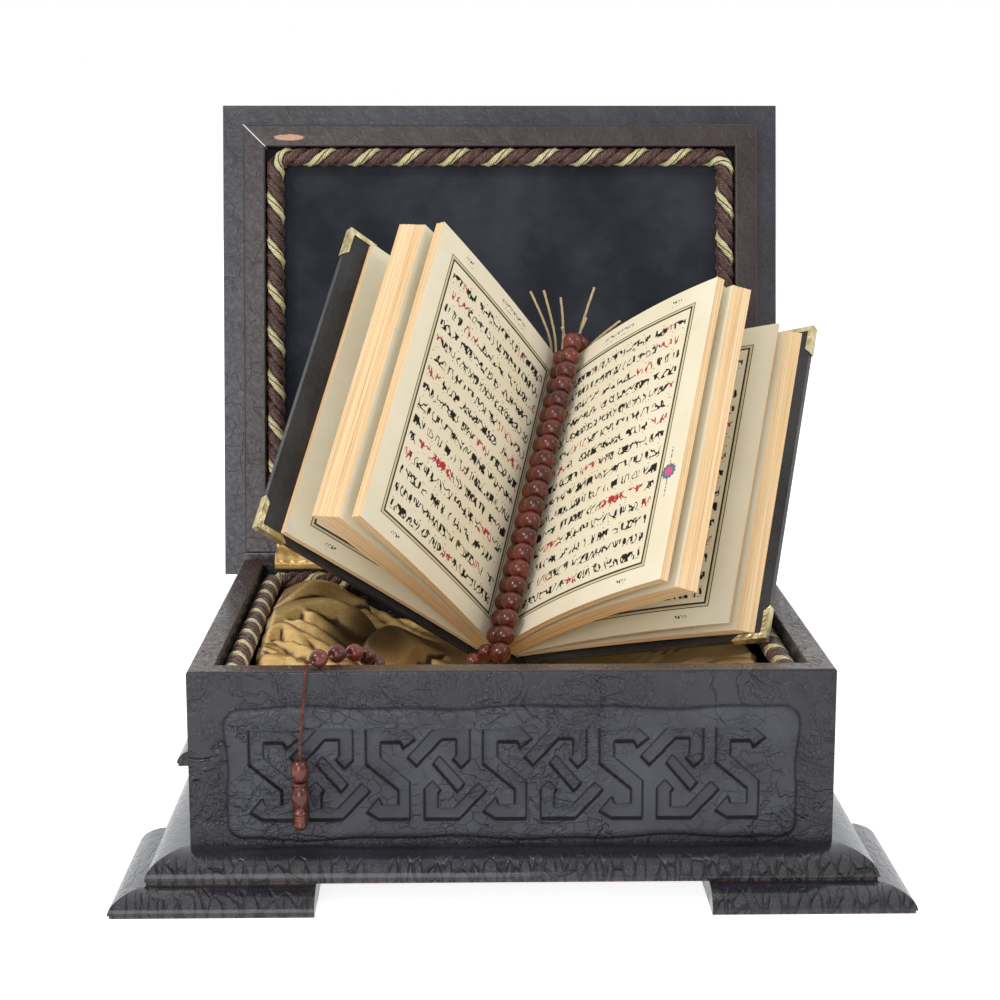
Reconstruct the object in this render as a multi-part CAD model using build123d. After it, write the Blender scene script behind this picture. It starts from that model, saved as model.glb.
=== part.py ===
from build123d import *
import os
from math import cos, radians, sin, sqrt, tan

# Box body: four mitred walls on a moulded plinth
box_width = 300.0
box_depth = 250.0
wall_height = 83.0
wall_thickness = 12.5
edge_round = 1.2
base_thickness = 6.0
base_clearance = 0.2

# Plinth moulding and the four bracket feet
plinth_height = 12.6
plinth_reach = 19.0
plinth_ledge = 11.5
foot_height = 10.5
foot_reach = 14.8
foot_length = 93.5
foot_arm = 46.0
moulding_band = 1.6
moulding_step = 0.8
moulding_flat = 1.0
quarter_turn = 90.0

# Raised leather panels
panel_thickness = 2.2
panel_height = 68.0
panel_margin = 15.0
panel_corner = 9.0
panel_lift = 0.4

# Lid: a board, four rails, a lining panel and a leather panel
lid_gap = 0.3
rail_height = 11.8
rail_width = 13.0
lid_overhang = 12.8
lid_board_thickness = 9.0
lining_thickness = 2.0
lining_clearance = 0.3
lid_open_angle = 99.4

# Rope trims
rope_radius = 5.4
rope_corner = 8.0
rope_seat = 0.2
box_rope_drop = 3.8

# Butt hinges on the back
hinge_spacing = 170.0
hinge_length = 40.0
hinge_leaf_height = 10.4
leaf_thickness = 1.2
knuckle_radius = 2.4
knuckle_clearance = 0.2
knuckle_count = 5
pin_radius = 1.1
pin_clearance = 0.05
pin_head_radius = 2.0
pin_head_height = 1.0
screw_pitch = 13.0
screw_shank_radius = 1.0
screw_head_radius = 2.1
screw_depth = 8.0
screw_clearance = 0.05

# Open book, standing on its tail in the nest and leaning back towards the lid
page_end_room = 37.0
page_side_room = 6.5
cover_square = 10.8
cover_overlap = 3.0
cover_thickness = 3.2
spine_half_width = 17.4
spine_set_back = 7.2
spine_round = 13.5
spine_thickness = 2.6
spine_gap = 0.4
spine_edge_drop = 0.7
spine_edge_rise = 0.8
spine_taper = 1.8
back_radius = 17.0
back_half_width = 12.8
back_thickness = 1.6
back_gap = 0.5
book_lean = 41.6
book_tilt = 12.5
left_cover_angle = 49.3
right_cover_angle = 57.2
book_x = -4.7
book_y = 141.3
book_z = 80.65
corner_leg = 18.0
corner_lip = 2.5
corner_gauge = 0.6
corner_clearance = 0.05

# Beads and their string
bead_radius = 5.6
bead_half_length = 5.0
bead_pitch = 10.15
bead_bore = 1.4
small_bead_radius = 4.4
small_bead_half_length = 4.0
small_bead_bore = 1.3
string_radius = 0.5
arc_share = 0.45
knot_radius = 1.5
knot_gap = 0.3
front_row = (4.6, 22.8)
front_row_start = -14.3
front_row_count = 21
back_row = (-0.2, 12.0)
back_row_start = 0.6
back_row_count = 19
return_bead_count = 11

# Turned pendant on its cord
pendant_x = -98.0
pendant_y = -7.2
pendant_top = 66.0
cord_radius = 0.7
pendant_bore = 0.8
pendant_gap = 0.15
pendant_bead_radius = 3.9
pendant_bead_height = 10.3
pendant_bead_end = 2.4
drop_neck_radius = 1.9
drop_barrel_radius = 4.15
drop_barrel_height = 9.0
drop_ring_radius = 3.0
drop_ring_height = 2.2
drop_tip_height = 9.6
drop_tip_radius = 0.8
drop_tip_belly = 0.5
drop_hole_depth = 3.5

# Gilt threads that stand out of the hollow back
thread_radius = 0.7
thread_spacing = 2.5
thread_gap = 0.2
thread_tuck = 8.0
thread_neck = 1.0

# Satin nest and the satin strip over the hinge line
nest_margin = 1.2
nest_seat_clearance = 0.35
strip_thickness = 0.8
strip_side_room = 6.5
strip_stand_off = 0.9
strip_drop = 3.2
strip_rise = 0.7
strip_shoulder = (2.5, 3.9)
strip_crest = (1.5, 6.9)
strip_end = (3.6, 16.4)

# Heights and faces that the sizes above give
wall_low = foot_height + plinth_height
rim = wall_low + wall_height
half_width = box_width / 2
inner_half_width = half_width - wall_thickness
back_inner = box_depth - wall_thickness
lid_low = rim + lid_gap
lid_ceiling = lid_low + rail_height
hinge_reach = knuckle_radius + knuckle_clearance
hinge_y = box_depth + hinge_reach
hinge_z = rim + lid_gap / 2
lid_lean = radians(lid_open_angle - 90)

# The book's leaves are cut for the room between the walls
page_width = inner_half_width - page_side_room
page_height = back_inner - wall_thickness - page_end_room
cover_width = page_width + cover_square
thread_start = page_height - thread_tuck

# The frame's origin is under the middle of the whole object's box
front_reach = plinth_reach + foot_reach
board_top = lid_ceiling + lid_board_thickness


def open_reach(inset, height):
    """How far back a lid edge lies when open: inset from the board's front edge, at a height when closed."""
    run = hinge_y + lid_overhang - inset
    return hinge_y + run * sin(lid_lean) + (height - hinge_z) * cos(lid_lean)


back_reach = max(open_reach(0, board_top), open_reach(panel_margin, board_top + panel_thickness))
middle_y = (back_reach - front_reach) / 2

box_parts = {}
lid_parts = {}
book_parts = {}


def mitred_bar(section, length, reach, inset):
    """A straight bar whose two ends are cut at 45 degrees.

    The section lies in (outward, up); outward is -Y here. The footprint is a
    trapezoid from the outer edge at -reach to the inner edge at +inset.
    """
    end = length / 2 + reach
    plane = Plane(origin=(end, 0, 0), x_dir=(0, -1, 0), z_dir=(-1, 0, 0))
    bar = extrude(plane * section, amount=2 * end)
    inner = length / 2 - inset
    outline = Polyline((-end, -reach), (end, -reach), (inner, inset), (-inner, inset), close=True)
    tall = bar.bounding_box()
    prism = extrude(Pos(0, 0, tall.min.Z) * make_face(outline), amount=tall.size.Z)
    return bar & prism


def four_bars(section, reach, inset):
    """The same section run round all four sides of the box, as front, back, left and right."""
    long_bar = mitred_bar(section, box_width, reach, inset)
    short_bar = mitred_bar(section, box_depth, reach, inset)
    return {
        "front": long_bar,
        "back": Pos(0, box_depth, 0) * Rot(0, 0, 180) * long_bar,
        "left": Pos(-half_width, box_depth / 2, 0) * Rot(0, 0, -90) * short_bar,
        "right": Pos(half_width, box_depth / 2, 0) * Rot(0, 0, 90) * short_bar,
    }


def moulding_section(reach, start, inset, height, low):
    """Ovolo moulding: a band at the foot, then a quarter ellipse rising inwards to the top."""
    hollow = EllipticalCenterArc(
        (start, low + moulding_band),
        reach - start,
        height - moulding_band,
        start_angle=0,
        arc_size=quarter_turn,
    )
    edges = Polyline(
        (start, low + height),
        (-inset, low + height),
        (-inset, low),
        (reach - moulding_step, low),
        (reach - moulding_step, low + moulding_band),
        (reach, low + moulding_band),
    )
    return make_face([*hollow.edges(), *edges.edges()])


def arc_radii(points):
    """The radius of the arc at each corner of a line: a share of its shorter run, over tan(turn / 2)."""
    vectors = [Vector(*point) for point in points]
    radii = []
    for before, here, after in zip(vectors, vectors[1:], vectors[2:]):
        turn = radians((here - before).get_angle(after - here))
        radii.append(arc_share * min((here - before).length, (after - here).length) / tan(turn / 2))
    return radii


def tube(points, radius):
    """A round tube along straight runs joined by arcs, each arc as large as its two runs allow."""
    path = FilletPolyline(*points, radius=arc_radii(points))
    section = Plane(origin=path @ 0, z_dir=path % 0) * Circle(radius)
    return sweep(section, path=path), path


# Walls
wall_section = Pos(-wall_thickness / 2, wall_low + wall_height / 2) * Rectangle(wall_thickness, wall_height)
wall_section = fillet(wall_section.vertices().sort_by(Axis.Y)[-2:], edge_round)
for side, bar in four_bars(wall_section, 0, wall_thickness).items():
    box_parts[f"{side}_wall"] = bar

# Base board, carried on the plinth's ledge
base_width = box_width - 2 * wall_thickness - 2 * base_clearance
base_depth = box_depth - 2 * wall_thickness - 2 * base_clearance
base_top = wall_low + base_thickness
box_parts["base_board"] = Pos(0, box_depth / 2, wall_low + base_thickness / 2) * Box(
    base_width, base_depth, base_thickness
)

# Plinth
plinth_inset = wall_thickness + plinth_ledge
plinth_section = moulding_section(plinth_reach, moulding_flat, plinth_inset, plinth_height, foot_height)
for side, bar in four_bars(plinth_section, plinth_reach, plinth_inset).items():
    box_parts[f"plinth_{side}"] = bar

# Feet: two lengths of moulding mitred together at each corner
foot_outer = plinth_reach + foot_reach
foot_inset = foot_arm - foot_outer
foot_section = moulding_section(foot_outer, plinth_reach - moulding_step, foot_inset, foot_height, 0)
foot_bars = four_bars(foot_section, foot_outer, foot_inset)
for end in ("front", "back"):
    for side, sign in (("left", -1), ("right", 1)):
        x = sign * (half_width + foot_outer - foot_length / 2)
        y = -foot_outer + foot_length / 2 if end == "front" else box_depth + foot_outer - foot_length / 2
        corner = Pos(x, y, foot_height / 2) * Box(foot_length, foot_length, foot_height)
        box_parts[f"foot_{end}_{side}"] = (foot_bars[end] + foot_bars[side]) & corner

# Leather panels, glued to the outside of the walls
panel_low = wall_low + panel_lift


def wall_panel(width):
    """A raised panel with rounded corners that stands on the front face."""
    outline = RectangleRounded(width, panel_height, panel_corner)
    return extrude(Plane.XZ * Pos(0, panel_low + panel_height / 2) * outline, amount=panel_thickness)


long_panel = wall_panel(box_width - 2 * panel_margin)
short_panel = wall_panel(box_depth - 2 * panel_margin)
box_parts["front_leather_panel"] = long_panel
box_parts["back_leather_panel"] = Pos(0, box_depth, 0) * Rot(0, 0, 180) * long_panel
box_parts["left_leather_panel"] = Pos(-half_width, box_depth / 2, 0) * Rot(0, 0, -90) * short_panel
box_parts["right_leather_panel"] = Pos(half_width, box_depth / 2, 0) * Rot(0, 0, 90) * short_panel


def rope_loop(inner_width, inner_depth, height):
    """A rope laid round inside a rectangle, with tight round corners."""
    inset = rope_radius + rope_seat
    path = RectangleRounded(inner_width - 2 * inset, inner_depth - 2 * inset, rope_corner).wire()
    section = Plane(origin=path @ 0, z_dir=path % 0) * Circle(rope_radius)
    return Pos(0, box_depth / 2, height) * sweep(section, path=path)


box_rope_z = rim - box_rope_drop - rope_radius
box_parts["box_rope"] = rope_loop(2 * inner_half_width, back_inner - wall_thickness, box_rope_z)

# Lid, drawn closed
rail_section = Pos(-rail_width / 2, lid_low + rail_height / 2) * Rectangle(rail_width, rail_height)
rail_section = fillet(rail_section.vertices().sort_by(Axis.Y)[:2], edge_round)
for side, bar in four_bars(rail_section, 0, rail_width).items():
    lid_parts[f"lid_rail_{side}"] = bar
lid_parts["lid_board"] = Pos(0, box_depth / 2, lid_ceiling + lid_board_thickness / 2) * Box(
    box_width + 2 * lid_overhang, box_depth + 2 * lid_overhang, lid_board_thickness
)
lining_width = box_width - 2 * rail_width - 2 * lining_clearance
lining_depth = box_depth - 2 * rail_width - 2 * lining_clearance
lid_parts["lid_velvet_panel"] = Pos(0, box_depth / 2, lid_ceiling - lining_thickness / 2) * Box(
    lining_width, lining_depth, lining_thickness
)
lid_rope_z = lid_ceiling - lining_thickness - rope_radius - rope_seat
lid_parts["lid_rope"] = rope_loop(box_width - 2 * rail_width, box_depth - 2 * rail_width, lid_rope_z)
lid_panel_outline = RectangleRounded(
    box_width + 2 * (lid_overhang - panel_margin), box_depth + 2 * (lid_overhang - panel_margin), panel_corner
)
lid_panel_z = lid_ceiling + lid_board_thickness
lid_parts["lid_leather_panel"] = Pos(0, box_depth / 2, lid_panel_z) * extrude(
    lid_panel_outline, amount=panel_thickness
)

# Hinges: leaves screwed to the back faces, knuckles on one pin
knuckle_length = (hinge_length - (knuckle_count - 1) * knuckle_clearance) / knuckle_count
knuckle_step = knuckle_length + knuckle_clearance
knuckle_first = -(hinge_length - knuckle_length) / 2
leaf_start = knuckle_radius + knuckle_clearance


def barrel(length, radius):
    """A cylinder along X on the hinge axis."""
    return Rot(0, 90, 0) * Cylinder(radius, length)


def screw(grow):
    """A countersunk wood screw along Y with its head flush with the leaf's outer face."""
    cone_depth = leaf_thickness
    head = Pos(0, leaf_thickness - cone_depth / 2, 0) * Rot(-90, 0, 0) * Cone(
        screw_shank_radius + grow, screw_head_radius + grow, cone_depth
    )
    shank = Pos(0, -screw_depth / 2, 0) * Rot(90, 0, 0) * Cylinder(
        screw_shank_radius + grow, screw_depth + 2 * grow
    )
    return head + shank


def leaf(own_knuckles, up):
    """One hinge leaf, drawn about the hinge axis; up is +1 for the lid's leaf and -1 for the box's."""
    plate_height = hinge_leaf_height - leaf_start
    plate_y = leaf_thickness / 2 - hinge_reach
    plate = Box(hinge_length, leaf_thickness, plate_height)
    body = Pos(0, plate_y, up * (leaf_start + plate_height / 2)) * plate
    for index in own_knuckles:
        x = knuckle_first + index * knuckle_step
        web = Pos(x, plate_y, up * leaf_start / 2) * Box(knuckle_length, leaf_thickness, leaf_start)
        body += web + Pos(x, 0, 0) * barrel(knuckle_length, knuckle_radius)
    return body - barrel(2 * hinge_length, pin_radius + pin_clearance)


def screw_places(up):
    """Where a leaf's three screws stand, about the hinge axis."""
    z = up * (leaf_start + hinge_leaf_height) / 2
    return [Pos(i * screw_pitch, -hinge_reach, z) for i in (-1, 0, 1)]


def screws(up, grow):
    """The three screws of one leaf, or with some growth their holes."""
    return Compound([place * screw(grow) for place in screw_places(up)])


box_screws = []
lid_screws = []
for side, sign in (("left", -1), ("right", 1)):
    place = Pos(sign * hinge_spacing / 2, hinge_y, hinge_z)
    box_leaf = leaf(range(0, knuckle_count, 2), -1) - screws(-1, screw_clearance)
    lid_leaf = leaf(range(1, knuckle_count, 2), 1) - screws(1, screw_clearance)
    box_parts[f"hinge_leaf_box_{side}"] = place * box_leaf
    lid_parts[f"hinge_leaf_lid_{side}"] = place * lid_leaf
    head = Pos(hinge_length / 2 + knuckle_clearance + pin_head_height / 2, 0, 0)
    pin = barrel(hinge_length + 2 * knuckle_clearance, pin_radius)
    pin += head * barrel(pin_head_height, pin_head_radius)
    pin += Rot(0, 0, 180) * head * barrel(pin_head_height, pin_head_radius)
    box_parts[f"hinge_pin_{side}"] = place * pin
    box_screws.append(place * screws(-1, 0))
    lid_screws.append(place * screws(1, 0))
    box_parts["back_wall"] -= place * screws(-1, screw_clearance)
    lid_parts["lid_rail_back"] -= place * screws(1, screw_clearance)
box_parts["hinge_screws_box"] = Compound([solid for group in box_screws for solid in group.solids()])
lid_parts["hinge_screws_lid"] = Compound([solid for group in lid_screws for solid in group.solids()])

# Swing the lid open about the hinge axis
swing = Pos(0, hinge_y, hinge_z) * Rot(-lid_open_angle, 0, 0) * Pos(0, -hinge_y, -hinge_z)
lid_parts = {name: swing * piece for name, piece in lid_parts.items()}

# The book stands in its own frame: x across, n out of the gutter, g up the spine
lean, tilt = radians(book_lean), radians(book_tilt)
spine_up = Vector(sin(tilt), sin(lean) * cos(tilt), cos(lean) * cos(tilt))
gutter_out = Vector(0, -cos(lean), sin(lean))
gutter_out = (gutter_out - spine_up * gutter_out.dot(spine_up)).normalized()
across = spine_up.cross(gutter_out)
book_plane = Plane(origin=(book_x, book_y, book_z), x_dir=across, z_dir=spine_up)


def book_point(x, n, g):
    """A point of the book's frame in the box's frame."""
    return Vector(book_x, book_y, book_z) + across * x + gutter_out * n + spine_up * g


def back_curve(x):
    """Height of the sewn back at a distance x from the fold: an arc of the back's radius."""
    return sqrt(back_radius**2 - x**2) - back_radius


def leaf_end(x, angle, length):
    """The fore-edge point of a leaf bound at x that leans outwards by an angle from the gutter's normal."""
    side = 1 if x > 0 else -1
    return x + side * length * sin(angle), back_curve(x) + length * cos(angle)


def page_block(bound_front, bound_back, angle, thickness, slant, bulge):
    """A block of leaves between two curved faces, extruded up the spine.

    The front face runs from the sewn back to the fore-edge on an arc that
    bulges towards the middle of the opening; the back face runs the same way
    from a fore-edge set off by the block's thickness and its slant.
    """
    side = 1 if bound_front > 0 else -1
    a = radians(angle)
    front = leaf_end(bound_front, a, page_width)
    outward = (side * cos(a), -sin(a))
    along = (side * sin(a), cos(a))
    back = (
        front[0] + thickness * outward[0] + slant * along[0],
        front[1] + thickness * outward[1] + slant * along[1],
    )

    def arc(bound, edge):
        middle = (
            (bound[0] + edge[0]) / 2 - bulge * outward[0],
            (bound[1] + edge[1]) / 2 - bulge * outward[1],
        )
        return ThreePointArc(flat(bound), flat(middle), flat(edge))

    def flat(point):
        return (point[0], -point[1])

    near = (bound_front, back_curve(bound_front))
    far = (bound_back, back_curve(bound_back))
    outline = [arc(near, front), Line(flat(front), flat(back)), arc(far, back), Line(flat(far), flat(near))]
    return extrude(make_face([edge for part in outline for edge in part.edges()]), amount=page_height)


# Each block: where its front and back leaf are bound, its lean, its thickness and slant at the
# fore-edge, and its bulge
page_blocks = {
    "pages_left_inner": (-1.2, -4.6, 31.5, 5.0, 0.0, 2.0),
    "pages_left_middle": (-5.0, -10.8, 35.1, 13.6, 5.4, 2.0),
    "pages_left_outer": (-11.2, -12.8, 49.0, 3.5, 0.0, 1.0),
    "pages_right_inner": (1.2, 4.6, 36.6, 4.0, 1.0, 5.0),
    "pages_right_middle": (5.0, 10.6, 39.4, 8.8, 5.0, 5.0),
    "pages_right_leaf": (11.0, 11.6, 53.3, 1.0, 0.0, 4.0),
    "pages_right_outer": (11.9, 12.8, 55.9, 4.8, 8.0, 2.0),
}
for name, values in page_blocks.items():
    book_parts[name] = book_plane * page_block(*values)

# Covers: two boards that meet the spine at its edges
cover_height = page_height + 2 * cover_overlap


def cover_frame(side, angle):
    """A cover's own plane: x along the board from the spine to its fore-edge, z up the spine."""
    hinge = (side * spine_half_width, spine_set_back, -cover_overlap)
    direction = (side * sin(radians(angle)), -cos(radians(angle)), 0)
    return Plane(origin=hinge, x_dir=direction, z_dir=(0, 0, 1))


def corner_cap(side, top):
    """A brass cap folded round a corner of a board: an outer triangle, two edges and a narrow lip inside."""
    g = corner_gauge
    inward = -side
    tip_x = cover_width + g
    tip_z = cover_height + g if top else -g
    down = -1 if top else 1
    reach = corner_leg + g
    triangle = Polyline((tip_x, tip_z), (tip_x - reach, tip_z), (tip_x, tip_z + down * reach), close=True)
    blank = extrude(Plane.XZ * make_face(triangle), amount=cover_thickness + 2 * g, both=True)
    low, high = (-g, cover_thickness + g) if inward > 0 else (-cover_thickness - g, g)
    room = 4 * cover_height
    slab = Pos(0, (low + high) / 2, 0) * Box(room, high - low, room)
    board = board_solid(side, corner_clearance)
    lip_x = cover_width - corner_lip - room / 2
    lip_z = tip_z + down * (corner_lip + g + room / 2)
    face_y = inward * (cover_thickness + g)
    open_face = Pos(lip_x, face_y, lip_z) * Box(room, 2 * g + 2 * corner_clearance + g, room)
    return (blank & slab) - board - open_face


def board_solid(side, grow):
    """One cover board, from the hinge line to the fore-edge; its outer face lies on the frame's plane."""
    inward = -side
    return Pos(cover_width / 2, inward * cover_thickness / 2, cover_height / 2) * Box(
        cover_width + 2 * grow, cover_thickness + 2 * grow, cover_height + 2 * grow
    )


for side, name, angle in ((-1, "left", left_cover_angle), (1, "right", right_cover_angle)):
    frame = cover_frame(side, angle)
    book_parts[f"book_cover_{name}"] = book_plane * (frame * board_solid(side, 0))
    for top, end in ((True, "head"), (False, "tail")):
        book_parts[f"cover_corner_{name}_{end}"] = book_plane * (frame * corner_cap(side, top))


def strip_between(near, near_middle, far_middle, far):
    """A slice across the back of the book: two arcs over the same middle, joined at their ends."""
    ends = [(-near[0], near[1]), (near[0], near[1]), (-far[0], far[1]), (far[0], far[1])]
    upper = ThreePointArc(ends[0], (0, near_middle), ends[1])
    lower = ThreePointArc(ends[3], (0, far_middle), ends[2])
    outline = [upper, Line(ends[1], ends[3]), lower, Line(ends[2], ends[0])]
    return make_face([edge for part in outline for edge in part.edges()])


# Spine of the case: a curved shell between the two boards
spine_edge = spine_half_width - spine_gap
spine_section = strip_between(
    (spine_edge - spine_taper, spine_set_back - spine_edge_rise),
    spine_round - spine_thickness,
    spine_round,
    (spine_edge, spine_set_back + spine_edge_drop),
)
spine_shell = extrude(spine_section, amount=cover_height)
book_parts["book_spine"] = book_plane * Pos(0, 0, -cover_overlap) * spine_shell


def back_offset(depth):
    """A point on the back's circle drawn in by a depth, at the edge of the sewn back, and its middle."""
    turn = sqrt(1 - (back_half_width / back_radius) ** 2)
    radius = back_radius - depth
    return (radius * back_half_width / back_radius, back_radius - radius * turn), depth


# Sewn back: cloth and glue over the folds of the leaves
near_edge, near_middle = back_offset(back_gap)
far_edge, far_middle = back_offset(back_gap + back_thickness)
sewn_section = strip_between(near_edge, near_middle, far_middle, far_edge)
book_parts["sewn_back"] = book_plane * extrude(sewn_section, amount=page_height)

# Gilt threads: where each one bends and where it ends, outside the head of the spine
thread_routes = [
    ((27.5, 263.0, 238.0), (16.6, 259.0, 260.5)),
    ((30.5, 264.0, 240.0), (24.3, 260.0, 261.0)),
    ((36.5, 264.0, 238.0), (34.0, 259.0, 257.0)),
    ((38.5, 261.0, 229.0), (34.6, 252.0, 240.5)),
    ((43.5, 264.0, 232.0), (48.8, 259.0, 245.4)),
    ((46.0, 265.0, 240.0), (53.4, 261.0, 262.6)),
    ((52.5, 263.0, 231.5), (68.2, 257.0, 243.7)),
]
thread_circle = back_radius - back_gap - back_thickness - thread_gap - thread_radius
threads = []
for index, (bend, tip) in enumerate(thread_routes):
    x = (index - (len(thread_routes) - 1) / 2) * thread_spacing
    n = sqrt(thread_circle**2 - x**2) - back_radius
    root = book_point(x, n, thread_start)
    neck = book_point(x, n, cover_height + thread_neck)
    thread, path = tube([tuple(root), tuple(neck), bend, tip], thread_radius)
    print("gilt thread length", round(path.length, 1))
    threads.append(thread)
book_parts["gilt_threads"] = Compound([solid for thread in threads for solid in thread.solids()])

# The string's route: from the knot over the rim and the satin to the book, up the gutter,
# round the head, and back to the knot
rim_to_book = [
    (-93.2, 1.0, 110.6),
    (-85.7, 10.1, 111.2),
    (-77.2, 20.2, 110.0),
    (-70.4, 29.6, 106.5),
    (-66.8, 37.8, 102.0),
    (-62.0, 41.8, 95.2),
    (-55.2, 43.2, 89.4),
    (-46.4, 44.4, 84.9),
    (-37.2, 47.6, 81.5),
    (-28.6, 52.8, 78.6),
    (-21.7, 60.2, 76.5),
    (-16.5, 69.0, 75.4),
    (-12.8, 78.4, 74.9),
    (-9.8, 88.0, 74.3),
    (-7.2, 97.6, 74.4),
    (-5.2, 106.9, 77.0),
]
up_the_gutter = [
    (-4.4, 110.9, 80.8),
    (8.2, 149.6, 124.3),
    (21.0, 188.5, 168.1),
    (32.1, 220.8, 204.6),
    (38.2, 238.9, 225.0),
    (40.8, 246.7, 233.7),
    (42.0, 250.2, 237.7),
]
round_the_head = [
    (43.4, 253.7, 234.4),
    (47.2, 263.2, 224.6),
    (40.8, 264.8, 223.9),
    (36.5, 256.1, 228.1),
    (33.4, 246.8, 217.7),
]
down_the_gutter = [
    (25.6, 223.1, 190.8),
    (15.0, 190.6, 154.3),
    (4.0, 158.3, 117.8),
    (-2.3, 140.2, 97.4),
]
book_to_rim = [
    (-6.3, 128.1, 83.9),
    (-14.8, 123.6, 80.3),
    (-19.6, 115.8, 77.0),
    (-20.8, 106.0, 75.8),
    (-22.6, 96.1, 75.4),
    (-26.2, 86.8, 75.6),
    (-31.8, 78.6, 76.8),
    (-39.0, 72.0, 78.9),
    (-46.9, 66.6, 81.9),
    (-54.9, 61.8, 85.5),
    (-62.6, 56.4, 90.4),
    (-69.8, 48.4, 97.0),
    (-78.0, 33.0, 104.6),
    (-86.5, 19.0, 108.2),
    (-94.0, 9.4, 107.6),
    (-94.2, 1.3, 109.9),
]
string_route = rim_to_book + up_the_gutter + round_the_head + down_the_gutter + book_to_rim
book_parts["bead_string"], string_path = tube(string_route, string_radius)
print("bead string length", round(string_path.length, 1))


def bead(radius, half_length, bore):
    """A round bead with flattened ends and a bore along Z."""
    ball = Sphere(radius) & Cylinder(radius, 2 * half_length)
    return ball - Cylinder(bore, 2 * radius)


def beads_on_runs(points, count):
    """Small beads, one in the middle of each of the first runs between the points."""
    one = bead(small_bead_radius, small_bead_half_length, small_bead_bore)
    placed = []
    for near, far in list(zip(points, points[1:]))[:count]:
        along = Vector(*far) - Vector(*near)
        placed.append(Plane(origin=Vector(*near) + along / 2, z_dir=along) * one)
    return placed


def gutter_row(place, start, count):
    """A straight row of beads up the gutter, at one place across it."""
    one = bead(bead_radius, bead_half_length, bead_bore)
    origins = [book_point(*place, start + index * bead_pitch) for index in range(count)]
    return [Plane(origin=origin, z_dir=spine_up) * one for origin in origins]


def joined(pieces):
    """Separate solids as one node."""
    return Compound([solid for piece in pieces for solid in piece.solids()])


# The bead that turns over the head, on the run behind the head's first corner
turn_near, turn_far = Vector(*round_the_head[0]), Vector(*round_the_head[1])
turn_run = (turn_far - turn_near).normalized()
turn_bead = Plane(origin=turn_near + turn_run * bead_half_length, z_dir=turn_run) * bead(
    bead_radius, bead_half_length, bead_bore
)
front_beads = gutter_row(front_row, front_row_start, front_row_count)
book_parts["gutter_beads_front"] = joined(front_beads + [turn_bead])
book_parts["gutter_beads_back"] = joined(gutter_row(back_row, back_row_start, back_row_count))
going_beads = beads_on_runs(rim_to_book, len(rim_to_book) - 1)
coming_beads = beads_on_runs(book_to_rim, return_bead_count)
book_parts["small_beads"] = joined(going_beads + coming_beads)

# Knot at the rim, where both ends of the string and the pendant's cord meet
knot_place = (-94.35, -0.4, 110.5)
book_parts["string_knot"] = Pos(*knot_place) * Sphere(knot_radius)

# Pendant cord: over the front edge and down, through the pendant bead into the drop
cord_route = [
    (-94.5, -1.9, 109.5),
    (-94.8, -4.3, 106.2),
    (-95.4, -5.0, 98.8),
    (-96.2, -5.7, 89.2),
    (-98.0, -7.2, 71.2),
    (-98.0, -7.2, 53.6),
]
book_parts["pendant_cord"], cord_path = tube(cord_route, cord_radius)
print("pendant cord length", round(cord_path.length, 1))

# Pendant bead and drop, turned pieces about the cord's lower run
bead_low = pendant_top - pendant_bead_height
bead_belly = ThreePointArc(
    (pendant_bead_end, pendant_top),
    (pendant_bead_radius, (pendant_top + bead_low) / 2),
    (pendant_bead_end, bead_low),
)
bead_edges = Polyline(
    (pendant_bead_end, bead_low),
    (pendant_bore, bead_low),
    (pendant_bore, pendant_top),
    (pendant_bead_end, pendant_top),
)
bead_section = make_face([*bead_belly.edges(), *bead_edges.edges()])
pendant_place = Pos(pendant_x, pendant_y, 0)
book_parts["pendant_bead"] = pendant_place * revolve(Plane.XZ * bead_section, Axis.Z)

drop_top = bead_low - pendant_gap
barrel_low = drop_top - drop_barrel_height
ring_low = barrel_low - drop_ring_height
tip_low = ring_low - drop_tip_height
tip_middle = (drop_neck_radius + drop_tip_radius) / 2 + drop_tip_belly
drop_outline = [
    ThreePointArc(
        (drop_neck_radius, drop_top),
        (drop_barrel_radius, (drop_top + barrel_low) / 2),
        (drop_neck_radius, barrel_low),
    ),
    ThreePointArc(
        (drop_neck_radius, barrel_low),
        (drop_ring_radius, (barrel_low + ring_low) / 2),
        (drop_neck_radius, ring_low),
    ),
    ThreePointArc(
        (drop_neck_radius, ring_low),
        (tip_middle, (ring_low + tip_low) / 2),
        (drop_tip_radius, tip_low),
    ),
    Polyline(
        (drop_tip_radius, tip_low),
        (0, tip_low),
        (0, drop_top - drop_hole_depth),
        (pendant_bore, drop_top - drop_hole_depth),
        (pendant_bore, drop_top),
        (drop_neck_radius, drop_top),
    ),
]
drop_section = make_face([edge for part in drop_outline for edge in part.edges()])
book_parts["pendant_drop"] = pendant_place * revolve(Plane.XZ * drop_section, Axis.Z)

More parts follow.
